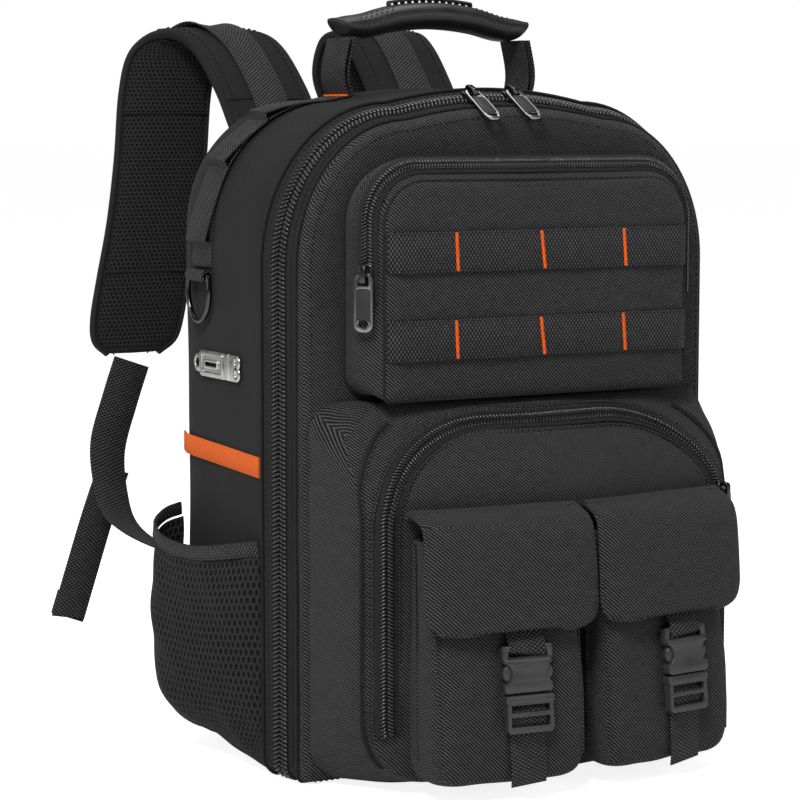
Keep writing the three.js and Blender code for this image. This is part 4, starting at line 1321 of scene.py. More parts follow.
@dataclass
class Pouch:
    """One of the two pouches with a flap, on the lower compartment's face."""

    hand: str
    side: int
    centre: float = 61.3
    half: float = 54.5
    floor: float = 12
    waist: float = 45
    rim: float = 170
    shallow: float = 24
    deep: float = 37
    corner: float = 15
    hem: float = 114
    hinge: float = 183
    proud: float = 10
    levels: tuple[Point2, ...] = (
        (12, 14), (12.6, 9), (14.6, 5), (18, 2.2), (24, 0.5), (40, -0.3), (57, -0.5), (80, -0.3), (107, 0),
        (130, 0.4), (150, 1), (170, 1.5),
    )

    def place(self, x: np.ndarray, depth: np.ndarray, z: np.ndarray) -> np.ndarray:
        """Points from across the pouch, forwards from the compartment's face, and height."""
        x, depth, z = np.broadcast_arrays(np.asarray(x, float), depth, z)
        across = self.side * self.centre + x
        base = LOWER.roof(np.stack([across.ravel(), np.full(across.size, LOWER.face), z.ravel()], axis=1))
        return np.stack([across, base[:, 1].reshape(across.shape) - depth, z], axis=-1)

    def depth(self, z: float) -> float:
        """How far the pouch stands forwards at a height."""
        return self.deep + (self.shallow - self.deep) * max(0.0, z - self.waist) / (self.rim - self.waist)

    def plan(self, z: float, d: float) -> Outline:
        """The pouch in plan at a height, moved inwards by d."""
        return Outline(self.half - d, 0.6 + min(d, 2), self.depth(z) - d, self.corner, self.corner, 1.5, 0, z)

    def bag(self) -> None:
        """Build the pouch's body."""
        closing = [replace(self.plan(12, 14).shrink(k), level=12.0) for k in (0.2, 0.5, 0.8)]
        rows = closing + [self.plan(z, d) for z, d in self.levels]
        rings = [self.place(*np.array([(x, depth, row.level) for x, depth in row.flat()]).T) for row in rows]
        cloth = loft(f"pouch_cloth_{self.hand}", rings, close_first=True)
        soften(cloth, 1)
        wrinkle(cloth, 0.9, 55, 31 + self.side)
        thicken(cloth, 2.0)
        dress(cloth, TWILL, stands_for=[f"pouch_{self.hand}"])
        zs = np.linspace(28, 168, 60)
        depths = np.array([self.depth(z) for z in zs])
        turned_in = self.corner * 0.29
        for hand in (-1, 1):
            name = f"{self.hand}_{'in' if hand * self.side < 0 else 'out'}"
            fold = self.place(hand * (self.half + 0.2), depths * 0.32, zs)
            strip(f"pouch_fold_{name}", Track(fold, facing((hand, 0, 0), len(zs))), round_cord(1.0), TWILL)
            ridge = self.place(hand * (self.half - turned_in + 0.1), depths - turned_in + 0.4, zs)
            strip(f"pouch_edge_{name}", Track(ridge, facing((hand, -1, 0), len(zs))), round_cord(0.8), TWILL)

    def flap_path(self) -> np.ndarray:
        """Depth, height and half width of the flap from its hinge to its hem."""
        fall = (
            (183, -3.2, 180.6, 59.4), (173, 1.2, 172, 59.5), (156.1, 1.7, 156.1, 59.9), (134, 1.4, 134, 60.3),
            (126, 1.1, 126, 60), (119, 1.0, 118.6, 57.3), (115, 0.9, 115, 52), (self.hem, 0.9, self.hem, 45),
        )
        front = [(self.depth(at) + self.proud + out, z, half) for at, out, z, half in fall]
        return np.array([(3.0, 183, 58.6), (8, 187, 59), (17.3, 185.2, 59.4), *front])

    def flap(self) -> None:
        """Build the flap with its turned edge and stitching."""
        path = curve_through(self.flap_path(), 42)
        columns = np.sin(np.linspace(-math.pi / 2, math.pi / 2, 27) * 0.98)
        columns = columns / columns[-1]
        grid = []
        for depth, z, half in path:
            fall = 7.5 * np.abs(columns) ** 7 if depth > 12 else np.zeros(len(columns))
            grid.append(self.place((half - 1.2) * columns, depth - fall, np.full(len(columns), z)))
        grid = np.array(grid)
        sheet = grid_sheet(f"flap_cloth_{self.hand}", grid)
        face_forward(sheet, Vector((0, -1, 0.6)))
        thicken(sheet, 2.6, 1.0)
        round_edges(sheet, 1.0, 2, 60)
        wrinkle(sheet, 0.35, 60, 41 + self.side)
        dress(sheet, TWILL, stands_for=[f"flap_{self.hand}"])
        border = [grid[r, 1] for r in range(12, 41)] + [grid[-2, c] for c in range(1, 26)]
        border += [grid[r, -2] for r in range(40, 11, -1)]
        border = curve_through(np.array(border), 200)
        stitch(f"flap_stitch_{self.hand}", Track(border, facing((0, -1, 0.05), len(border))).moved(0, 2.9))

    def build(self) -> None:
        """Build the pouch and its flap."""
        self.bag()
        self.flap()


def face_forward(piece: bpy.types.Object, way: Vector) -> None:
    """Turn an open sheet's faces to one side, the side that most of them should look to."""
    if sum(polygon.normal.dot(way) * polygon.area for polygon in piece.data.polygons) < 0:
        piece.data.flip_normals()


@dataclass
class SideBuckle:
    """A fastened side-release buckle on its webbing, in front of a pouch."""

    pouch: Pouch
    shift: float
    width: float = 35
    socket: float = 31
    plug: float = 25
    thick: float = 9
    top: float = 104
    narrow: float = 25
    web: float = 1.6
    upper_web: tuple[Point2, ...] = ((136, 0.6), (120, 1.2), (110, 4.2), (104, 7.6), (99.5, 8.0), (96.2, 4.0))
    slot_web: tuple[Point2, ...] = ((66, 2.0), (62, 5.2), (56, 6.0), (52, 4.4), (48.5, 2.0))
    hanging_web: tuple[Point2, ...] = ((58, 0.4), (46, 1.2), (38, 0.9), (24, 0.9), (12, -1.6))

    def frame(self, z: float) -> tuple[Point, Point, Point, Point]:
        """Directions across, up and to the front, and the middle of a part at a height."""
        turn = self.pouch.side * math.atan2(17, 150)
        lean = math.atan2(self.pouch.deep - self.pouch.shallow, self.pouch.rim - self.pouch.waist)
        across = Vector((math.cos(turn), math.sin(turn), 0))
        back = Vector((-math.sin(turn), math.cos(turn), 0))
        up = Vector((0, 0, 1)) * math.cos(lean) + back * math.sin(lean)
        middle = self.pouch.place(self.shift, self.pouch.depth(z) + 0.8 + self.web + self.thick / 2, z)
        return tuple(across), tuple(up), tuple(across.cross(up)), tuple(middle.tolist())

    def socket_piece(self) -> bpy.types.Object:
        """Model the half that the prongs click into, with a bar for the webbing at its top."""
        body = block("socket", (self.width - 1, self.socket - 7.5, 7.4), (0, -3.75, 0.4))
        round_corners(body, 2, 2.6)
        cut(body, *(rod("notch", 7.2, 20, (side * 19.2, -2.2, 0)) for side in (-1, 1)))
        round_edges(body, 1.1, 3, 35)
        bars = block("socket_bar", (self.width, 10.5, 5.6), (0, self.socket / 2 - 5.25, -0.4))
        round_corners(bars, 2, 2.4)
        cut(bars, block("slot", (self.narrow + 2.2, 5.4, 12), (0, self.socket / 2 - 6.4, 0)))
        round_edges(bars, 0.9, 3, 35)
        parts = [body, bars]
        for side in (-1, 1):
            prong = rod("prong", 6.2, 4.2, (side * 11.3, -2.2, 0), sides=36)
            cut(prong, block("half", (12, 20, 12), (side * 3.4, -2.2, 0)))
            round_edges(prong, 0.9, 3, 35)
            parts.append(prong)
        return join(f"buckle_{self.pouch.hand}_socket_shell", parts)

    def plug_piece(self) -> bpy.types.Object:
        """Model the half that carries the prongs, with its slots for the webbing."""
        long = self.plug - 0.4
        body = block("plug", (self.width - 2.4, long, 6.6))
        round_corners(body, 2, 3.0)
        for level, high in ((3.4, 4.6), (-5.0, 6.2)):
            cut(body, block("slot", (self.narrow + 2, high, 12), (0, level, 0)))
        round_edges(body, 0.9, 3, 35)
        shoulder = block("shoulder", (self.width - 1, 5.4, 7.2), (0, long / 2 - 2.9, 0.3))
        round_corners(shoulder, 2, 1.6)
        round_edges(shoulder, 0.9, 3, 35)
        return join(f"buckle_{self.pouch.hand}_plug_shell", [body, shoulder])

    def band(self, name: str, heights: Sequence[Point2], nodes: Sequence[str] = (), aside: float = 0.0,
             ) -> bpy.types.Object:
        """Lay webbing down the pouch's front.

        Args:
            name: The piece's name.
            heights: Height and extra distance off the pouch at each station.
            nodes: Solids that it takes the place of.
            aside: How far its lower end drifts to the side.

        Returns:
            The webbing.
        """
        line = curve_through(np.array(heights, float), 40)
        drift = aside * np.linspace(0, 1, len(line)) ** 1.5
        points = np.array([
            self.pouch.place(self.shift + d, self.pouch.depth(z) + 0.5 + out, z)
            for (z, out), d in zip(line, drift)
        ]).reshape(-1, 3)
        track = Track(points, facing(self.frame(80)[2], len(points)))
        return strip(name, track, flat_band(self.narrow, self.web), WEBBING, nodes)

    def build(self) -> None:
        """Build the buckle and its webbing."""
        name = f"buckle_{self.pouch.hand}"
        below = self.top - self.socket - 0.4 - self.plug / 2
        for half, height, made in (("socket", self.top - self.socket / 2, self.socket_piece()),
                                   ("plug", below, self.plug_piece())):
            put(made, *self.frame(height))
            dress(made, PLASTIC, stands_for=[f"{name}_{half}"], angle=40)
        self.band(f"{name}_upper_web", self.upper_web, [f"{name}_webbing"])
        self.band(f"{name}_slot_web", self.slot_web)
        tail = self.band(f"{name}_hanging_web", self.hanging_web, [f"{name}_tail"], 3.5)


@dataclass
class MeshPocket:
    """Net pocket on the left side, gathered by a ribbed binding."""

    thick: float = 1.3
    binding: float = 10
    bulge: float = 31
    low: float = 12
    rim: float = 150
    dip: float = 19
    columns: tuple[Point, ...] = (
        (0.007, 0.02, 0.47), (0.067, 0.2, 0.42), (0.215, 0.5, 0.21), (0.407, 0.73, 0), (0.6, 0.93, 0),
        (0.763, 1, 0.21), (0.881, 0.83, 0.53), (0.956, 0.37, 0.84), (0.972, -0.08, 1),
    )
    rows: tuple[Point2, ...] = (
        (0, 0.04), (0.095, 0.45), (0.24, 0.88), (0.48, 1), (0.76, 1), (1, 0.88),
    )

    def top_of(self, rise: float) -> float:
        """Height of the rim at a share of its dip."""
        return self.rim + self.dip * rise

    def point(self, column: np.ndarray, up: float, fill: float) -> np.ndarray:
        """A point of the net at a column's shares and a height's share."""
        along, out, rise = column
        reach = self.bulge * out
        bulge = max(reach * fill, min(reach, 0.6)) if reach > 0 else reach
        y = BODY.tape + (MainCompartment.back - BODY.tape) * along
        z = self.low + (self.top_of(rise) - self.binding - 0.4 - self.low) * up
        foot = BODY.row(0, y).foot
        tuck = foot - math.sqrt(max(foot ** 2 - (foot - z) ** 2, 0)) if z < foot else 0.0
        return np.array([tuck - BODY.front.half - bulge - 0.3, y, z])

    def build(self) -> None:
        """Build the net and its binding."""
        columns = curve_through(np.array(self.columns), 60)
        rows = curve_through(np.array(self.rows), 40)
        grid = np.array([[self.point(column, up, fill) for column in columns] for up, fill in rows])
        net = grid_sheet("side_net", grid)
        face_forward(net, Vector((-1, 0, 0)))
        wrinkle(net, 1.4, 38, 51)
        thicken(net, self.thick, 0.0)
        dress(net, NET, stands_for=["mesh_pocket"], mapped=False)
        top = grid[-1].copy()
        top[:, 2] = [self.top_of(rise) - self.binding / 2 for _, _, rise in columns]
        outward = unit(rows_at(-1, np.clip((columns[:, 0] - 0.8) * 4, 0, 1), 0))
        line = Track(top, outward)
        strip("net_binding", line, flat_band(self.binding, 2.4), WEBBING, ["mesh_binding"])
        for side, end in ((-1, "low"), (1, "high")):
            stitch(f"net_binding_stitch_{end}", line.moved(side * 3.4, 2.3), thick=0.3)


@dataclass
class SideFittings:
    """Elastic band and metal clip on the left side."""

    height: float = 14
    stations: tuple[Point, ...] = (
        (-41, 0, 208), (11.2, 0, 210), (65.4, 0, 212), (76, 1.6, 212.7), (82.2, 3.5, 213),
    )
    clip: Point = (73, 18, 2.4)
    clip_at: Point = (-172.6, 20, 271)

    def elastic(self) -> None:
        """Lay the bright band round to the back edge."""
        y, tuck, z = curve_through(np.array(self.stations), 40).T
        points = rows_at(tuck - BODY.front.half - 0.5, y, z)
        normals = unit(rows_at(-1, np.clip((y - 60) / 40, 0, 0.5), 0))
        band = flat_band(self.height, 1.5)
        strip("bright_elastic", Track(points, normals), band, ELASTIC, ["side_elastic"])

    def metal_clip(self) -> None:
        """Model the clip: a plate with a raised frame, a ring lug, a cross bar and two lobes."""
        long, high, thick = self.clip
        plate = block("clip", (long - 12, high, 1.0), (3, 0, 0))
        round_corners(plate, 2, 2.5)
        cut(plate, block("hole", (20, 3.4, 6), (-9, 0, 0)))
        round_edges(plate, 0.3, 2, 35)
        frame = block("frame", (36, high - 1.4, 1.5), (-9, 0, 0.6))
        round_corners(frame, 2, 2.5)
        cut(frame, block("window", (28, high - 7, 6), (-9, 0, 0)))
        round_edges(frame, 0.5, 3, 35)
        rim = block("rim", (23, 6.2, 1.3), (-9, 0, 0.7))
        round_corners(rim, 2, 2.4)
        cut(rim, block("slit", (18.5, 2.6, 6), (-9, 0, 0)))
        round_edges(rim, 0.4, 2, 35)
        lug = rod("lug", 6.4, 2.0, (-long / 2 + 6.8, 0, 0.1))
        cut(lug, rod("eye", 3.2, 8, (-long / 2 + 6.0, 0, 0)))
        round_edges(lug, 0.5, 3, 35)
        bar = block("bar", (7, high, 2.2), (15.5, 0, 0.1))
        round_edges(bar, 0.8, 3, 35)
        parts = [plate, frame, rim, lug, bar]
        for side in (-1, 1):
            lobe = rod("lobe", 5.2, 2.2, (long / 2 - 6.5, side * 3.9, 0.1))
            cut(lobe, rod("pin", 1.9, 8, (long / 2 - 6.5, side * 3.9, 0)))
            round_edges(lobe, 0.6, 3, 35)
            parts.append(lobe)
        made = join("side_clip", parts)
        put(made, (0, -1, 0), (0, 0, 1), (-1, 0, 0), self.clip_at)
        dress(made, STEEL, stands_for=["tape_clip"], angle=40)

    def build(self) -> None:
        """Build both fittings."""
        self.elastic()
        self.metal_clip()


@dataclass
class DaisyChain:
    """Looped webbing over the left shoulder down to the D-ring."""

    width: float = 30
    thick: float = 1.6
    handle_y: float = 32
    ring_at: Point = (-175.7, 43, 331)
    ring_size: Point = (38, 35, 3.8)
    sleeve: Point2 = (4.2, 4.2 * 0.62)
    lips: tuple[float, ...] = (0.36, 0.6, 0.9)
    loop: float = 0.2
    stand: float = 5.5

    def track(self) -> Track:
        """The line over the shoulder, with its normals."""
        start = RING // 2 + COUNTS["crown"]
        stop = start + COUNTS["corner"]
        points = []
        for k in range(start - 3, stop + 1):
            share = min(1.0, max(0.0, (k - start) / (stop - start)))
            y = self.handle_y + (self.ring_at[1] - self.handle_y) * share
            ring = BODY.row(-0.5, y + self.width / 2).ring()
            points.append((ring[k][0], y, ring[k][2]))
        for z in (348, 341, 337):
            points.append((-BODY.front.half - 0.5, self.ring_at[1], z))
        points = np.array(points)
        tangents = unit(np.gradient(points, axis=0))
        normals = unit(np.cross(tangents, facing((0, 1, 0), len(points))))
        if normals[0][2] < 0:
            normals = -normals
        return Track(points, normals).even(2.0)

    def webbing(self) -> None:
        """Lay the webbing with its standing loops over a flat strip, and sew the loops down."""
        base = self.track()
        share = np.linspace(0, 1, len(base.points))
        lift = np.zeros(len(share))
        for at in self.lips:
            ahead = at - share
            rising = (ahead > 0) & (ahead < self.loop)
            lift += np.where(rising, self.stand * (1 - ahead / self.loop) ** 1.6, 0)
        raised = Track(base.points + base.normals * lift[:, None], base.normals)
        strip("shoulder_webbing", raised, flat_band(self.width, self.thick), WEBBING, ["daisy_chain"])
        strip("shoulder_base_webbing", base, flat_band(self.width - 2, 0.9), WEBBING)
        for k, at in enumerate(self.lips[:2]):
            index = int(at * (len(share) - 1))
            sideways = np.linspace(-self.width / 2 + 1, self.width / 2 - 1, 14)
            here, off = base.points[index + 1], base.normals[index + 1]
            row = Track(here + np.outer(sideways, [0, 1, 0]) + off * 1.2, facing(off, 14))
            dress(repeat_along(f"loop_seam_{k}", bead(6, 4), row, (1.1, 0.9, 0.6)), THREAD)

    def ring(self) -> None:
        """Bend the D-ring and roll the sleeve of webbing that holds it."""
        width, height, wire = self.ring_size
        x, y, z = self.ring_at
        half, drop = width / 2 - wire / 2, height - wire
        turn = np.linspace(0, math.pi, 37)
        arc = rows_at(x, y + half * np.cos(turn), z - drop * 0.3 - drop * 0.7 * np.sin(turn))
        loop = np.concatenate([rows_at(x, np.linspace(y - half + 1.2, y + half - 1.2, 16), z), arc])
        strip("d_ring_wire", Track(loop, facing((-1, 0, 0), len(loop)), True), round_cord(wire / 2, 16),
              DARK_CHROME, ["d_ring"], "ring")
        track = Track(rows_at(x, np.linspace(y - 13.4, y + 13.4, 24), z), facing((-1, 0, 0), 24))
        outer, bore = (
            track.points[:, None] + track.sides()[:, None] * section[:, :1]
            + track.normals[:, None] * section[:, 1:]
            for section in (np.array(round_cord(radius, 24)) for radius in self.sleeve)
        )
        sleeve = loft("ring_sleeve", [*outer, *bore[::-1], outer[0]])
        face_out(sleeve, 0.01)
        dress(sleeve, WEBBING, stands_for=["d_ring_loop"])

    def build(self) -> None:
        """Build the webbing and its ring."""
        self.webbing()
        self.ring()


@dataclass
class Handle:
    """Moulded grip on two folded legs of webbing."""

    reach: float = 72
    y: float = 32
    leg_width: float = 34
    leg_thick: float = 2.4
    underside: float = 489
    half: float = 78
    depth: float = 30
    height: float = 19
    grip_axis: float = 505
    rows: tuple[tuple[float, float, float, float], ...] = (
        (-1, 0.86, 0.45, 0.1), (-0.94, 0.72, 0.95, 0.42), (-0.86, 0.605, 1.08, 0.8),
        (-0.7, 0.632, 1.03, 0.95), (-0.4, 0.921, 1, 1), (0, 1.053, 1, 1), (0.4, 0.921, 1, 1),
        (0.7, 0.632, 1.03, 0.95),
        (0.86, 0.605, 1.08, 0.8), (0.94, 0.72, 0.95, 0.42), (1, 0.86, 0.45, 0.1),
    )

    def grip_line(self, count: int) -> np.ndarray:
        """Place along, height of the middle, width and height of the grip at even steps."""
        rows = curve_through(np.array(self.rows), count)
        return np.stack([rows[:, 0] * self.half, self.underside + self.height * rows[:, 1],
                         rows[:, 2] * self.depth / 2, rows[:, 3] * self.height / 2], axis=1)

    def grip(self) -> None:
        """Model the grip with its pointed wings and the pierced ridge along its top."""
        rings = []
        turns = np.linspace(0, math.tau, 29)[:-1]
        for x, z, wide, high in self.grip_line(61):
            across = np.sign(np.cos(turns)) * np.abs(np.cos(turns)) ** 0.85
            rings.append(rows_at(x, self.y + wide * across, z + high * np.sin(turns)))
        grip = loft("grip_body", rings, close_first=True, close_last=True)
        soften(grip, 1)
        dress(grip, RUBBER, stands_for=["handle_grip"], angle=60)
        line = self.grip_line(401)
        xs = np.linspace(-33, 33, 60)
        crest = np.interp(xs, line[:, 0], line[:, 1]) + np.interp(xs, line[:, 0], line[:, 3])
        for k, side in enumerate((-1, 1)):
            ridge = Track(rows_at(xs, self.y + side * 2.2, crest + 2.2), facing((0, 0, 1), 60))
            strip(f"grip_ridge_{k}", ridge, round_cord(1.0, 8), RUBBER)
        posts = np.linspace(-33, 33, 13)
        feet = Track(rows_at(posts, self.y, np.interp(posts, xs, crest) + 1.1), facing((0, 0, 1), 13))
        dress(repeat_along("grip_posts", bead(10, 8), feet, (3.4, 1.1, 2.2)), RUBBER)
        for side, hand in ((-1, "left"), (1, "right")):
            dots = []
            for row in range(4):
                turn = math.radians(118 + row * 17)
                for column in range(7):
                    x = side * (34 + column * 4.2 + (row % 2) * 2.1)
                    z, wide, high = (float(np.interp(x, line[:, 0], line[:, k])) for k in (1, 2, 3))
                    dots.append((x, self.y - wide * abs(math.cos(turn)) ** 0.85, z + high * math.sin(turn)))
            dots = np.array(dots)
            spots = Track(dots, unit(rows_at(0, dots[:, 1] - self.y, dots[:, 2] - self.grip_axis)))
            dress(repeat_along(f"grip_dots_{hand}", bead(6, 5), spots, (0.85, 0.85, 0.6)), RUBBER)

    def legs(self) -> None:
        """Fold the two legs of webbing, with a bright bar tack at the left one's foot."""
        top = BODY.top_at(self.reach, self.y)
        line = curve_through(np.array([
            (self.reach - 1, top + 0.2), (self.reach + 2.4, top + 10.2), (self.reach + 2.6, top + 22.2),
            (self.reach - 1.6, self.underside + 3.6),
        ]), 40)
        for hand, side in (("left", -1), ("right", 1)):
            for layer, out, width, nodes in (("outer", 1.5, self.leg_width, [f"handle_leg_{hand}"]),
                                             ("inner", -1.5, self.leg_width - 2.5, [])):
                points = rows_at(side * (line[:, 0] + out * 0.8), self.y, line[:, 1])
                track = Track(points, facing((side * np.sign(out), 0, 0), 40))
                strip(f"handle_leg_{hand}_{layer}", track, flat_band(width, 1.5), WEBBING, nodes)
        run = np.linspace(self.y - 16, self.y + 14, 17)
        row = Track(rows_at(-self.reach - 3.6, run, top + 2.0), facing((0, 0, 1), 17))
        dress(repeat_along("handle_tack", bead(7, 5), row, (1.9, 1.15, 0.9), 12), ORANGE_THREAD)

    def build(self) -> None:
        """Build the handle."""
        self.grip()
        self.legs()


@dataclass
class ZipPulls:
    """Sliders and their tabs, modelled once and set on every zipper."""

    length: float = 12
    width: float = 5.5
    sole: float = 2.4
    opening: float = 3.4
    bridge: float = 1.7
    tab: Point = (13, 38, 2.2)
    bar: float = 2.2
    eye: tuple[float, float] = (7.5, 6)

    def slider(self) -> bpy.types.Object:
        """Model a slider: its waisted body on the chain and the bridge that holds the tab."""
        stand = self.sole + self.opening / 2
        body = block("slider_body", (self.length + 1.5, 2.3, self.width + 4.4), (0, -stand + 1.2, 0))
        round_corners(body, 1, 2.6)
        round_edges(body, 0.8, 3, 35)
        height = self.sole + self.opening + self.bridge
        arch = block("slider_arch", (self.length, height, 4.2), (0, height / 2 - stand, 0))
        round_corners(arch, 2, 2.6)
        cut(arch, block("gate", (7, self.opening, 12), (0, 0, 0)))
        round_edges(arch, 0.7, 3, 35)
        return join("slider_model", [body, arch])

    def tab_border(self) -> bpy.types.Object:
        """Model the tab's metal frame, with its eye, its hole at the tip and a recess in each face."""
        wide, long, thick = self.tab
        middle = self.bar / 2 - long / 2
        frame = block("tab", (wide, long, thick), (0, middle, 0))
        round_corners(frame, 2, 5, 6)
        eye = block("eye", (*self.eye, 8), (0, -self.bar / 2 - self.eye[1] / 2, 0))
        tip = block("tip", (wide * 0.52, 5, 8), (0, self.bar / 2 - long + 5.6, 0))
        round_corners(tip, 2, 2.2)
        cut(frame, eye, tip)
        for side in (-1, 1):
            pocket = block("pocket", (wide - 3.2, 20.5, 1.0), (0, -19.2, side * thick / 2))
            round_corners(pocket, 2, 2.0)
            cut(frame, pocket)
        round_edges(frame, 0.42, 3, 35)
        return frame

    def tab_fill(self) -> bpy.types.Object:
        """Model the grained filling of the tab's recesses."""
        wide, _, thick = self.tab
        parts = []
        for side in (-1, 1):
            fill = block("fill", (wide - 3.5, 20.2, 0.5), (0, -19.2, side * (thick / 2 - 0.2)))
            round_corners(fill, 2, 1.9)
            round_edges(fill, 0.15, 2, 35)
            parts.append(fill)
        return join("tab_fill_model", parts)

    def build(self) -> None:
        """Model the parts once and set a copy on each zipper."""
        slider, border, fill = self.slider(), self.tab_border(), self.tab_fill()
        sloping, straight = (0, -0.861, -0.508), (0, 0, -1)
        hang = {"main_left": sloping, "main_right": sloping, "upper": straight, "lower": straight}
        slope = math.atan2(BODY.seam_inset, BODY.tape - BODY.seam)
        over = Vector((0, -math.sin(slope), math.cos(slope)))
        joints = {joint["name"]: joint for joint in frame["joints"]}
        for name, down in hang.items():
            joint = joints[f"{name}_tab"]
            hinge = Vector(joint["axis"]).normalized()
            pivot = [value / MM for value in joint["pos_m"]]
            normal = over if name.startswith("main") else hinge.cross(Vector((0, 0, 1)))
            made = copy_piece(slider, f"zip_slider_{name}")
            put(made, normal.cross(hinge), normal, hinge, pivot)
            dress(made, DARK_CHROME, stands_for=[f"slider_{name}"], angle=40)
            up = -Vector(down).normalized()
            metal = copy_piece(border, f"tab_frame_{name}")
            put(metal, hinge, up, hinge.cross(up), pivot)
            # The frame takes the dark chrome painted brighter, as a painted highlight.
            dress(metal, PAINTED_HIGHLIGHT_CHROME, f"pull_{name}", [f"pull_{name}"], angle=40)
            grain = copy_piece(fill, f"tab_fill_{name}")
            put(grain, hinge, up, hinge.cross(up), pivot)
            dress(grain, TAB_FILL, f"pull_{name}", angle=40)
        for template in (slider, border, fill):
            bpy.data.objects.remove(template)


@dataclass
class BackPanel:
    """Padded panel against the wearer's back, sewn in channels."""

    shape: Outline = Outline(132, 34, 420, 60, 60, 30, 4)
    start: float = 92.4
    thick: float = 9

    def build(self) -> None:
        """Build the panel."""
        steps = ((0, 0), (0, 3), (0.6, 5.4), (3, 8), (8, self.thick))
        rows = [replace(self.shape.inset(d), level=self.start + deep) for d, deep in steps]
        rows += [replace(rows[-1].shrink(1 - k / 16), level=self.start + self.thick) for k in range(1, 16)]
        rings = [row.ring() for row in rows]
        for ring in rings[4:]:
            x, z = ring[:, 0], ring[:, 2]
            spine = np.exp(-(x / 16) ** 2) * 5.5
            for at in (150, 285):
                spine = np.maximum(spine, np.exp(-((z - at) / 9) ** 2) * 4.6)
            ring[:, 1] += 1.5 - spine
        base = [replace(self.shape.shrink(k), level=self.start).ring() for k in (0.2, 0.5, 0.8)]
        pad = loft("back_pad", base + rings, close_first=True, close_last=True)
        soften(pad, 1)
        dress(pad, AIR_MESH, stands_for=["back_panel"])
        rim = replace(self.shape.inset(0.2), level=self.start + 2.4).ring()
        strip("back_pad_binding", Track(rim, facing((0, 1, 0), RING), True), round_cord(2.2, 10), THREAD)


def outward_track(points: np.ndarray, across: Point) -> Track:
    """A track whose normals stand square to a strip's width and run."""
    tangents = unit(np.gradient(points, axis=0))
    normals = unit(np.cross(facing(across, len(points)), tangents))
    return Track(points, normals, across=across)


LEFT_PAD = (
    (0.351, 0.1, 0.847, 1), (0.357, 0.26, 0.886, 1), (0.36, 0.43, 0.94, 1), (0.368, 0.59, 1.002, 1),
    (0.4, 0.77, 1.064, 1), (0.46, 0.874, 1.09, 1), (0.55, 0.948, 1.089, 1), (0.635, 0.993, 1.059, 1),
    (0.678, 1, 0.996, 1), (0.713, 0.97, 0.891, 1), (0.766, 0.926, 0.788, 1), (0.83, 0.889, 0.696, 1),
    (0.865, 0.874, 0.634, 1), (0.883, 0.863, 0.598, 0.9), (0.895, 0.856, 0.577, 0.58),
)
RIGHT_PAD = (
    (0.351, 0.1, 0.847, 1), (0.363, 0.25, 0.885, 1), (0.37, 0.43, 0.945, 1), (0.37, 0.6, 1.011, 1),
    (0.35, 0.74, 1.068, 1), (0.32, 0.845, 1.094, 1), (0.28, 0.94, 1.082, 1), (0.27, 0.993, 1.028, 1),
    (0.33, 1, 0.97, 1), (0.44, 0.978, 0.886, 1), (0.573, 0.94, 0.792, 1), (0.713, 0.904, 0.7, 1),
    (0.807, 0.881, 0.643, 1), (0.85, 0.87, 0.605, 0.9), (0.875, 0.863, 0.582, 0.58),
)
PAD_SECTION = (
    (-1, 0), (-0.93, 0.55), (-0.5, 0.72), (0, 0.75), (0.5, 0.72), (0.93, 0.55), (1, 0), (0.94, -0.6),
    (0.6, -0.95), (0, -1.03), (-0.6, -0.95), (-0.94, -0.6),
)
COVER_SECTION = (
    (-0.97, 0.42), (-0.5, 0.6), (0, 0.62), (0.5, 0.6), (0.97, 0.42), (0.98, 0.62), (0.86, 0.86), (0.5, 1.0),
    (0, 1.04), (-0.5, 1.0), (-0.86, 0.86), (-0.98, 0.62),
)
WEB_RUN = (
    (0.9, 0.852, 0.563), (0.965, 0.83, 0.503), (1.04, 0.785, 0.429), (1.058, 0.696, 0.363),
    (1.064, 0.563, 0.324),
    (1.041, 0.37, 0.302), (0.99, 0.163, 0.287), (0.95, 0.06, 0.283), (0.907, 0.0037, 0.28),
)
TAIL_RUN = ((1.03, 0.752, 0.39), (1.09, 0.793, 0.315), (1.17, 0.77, 0.236), (1.25, 0.741, 0.158))


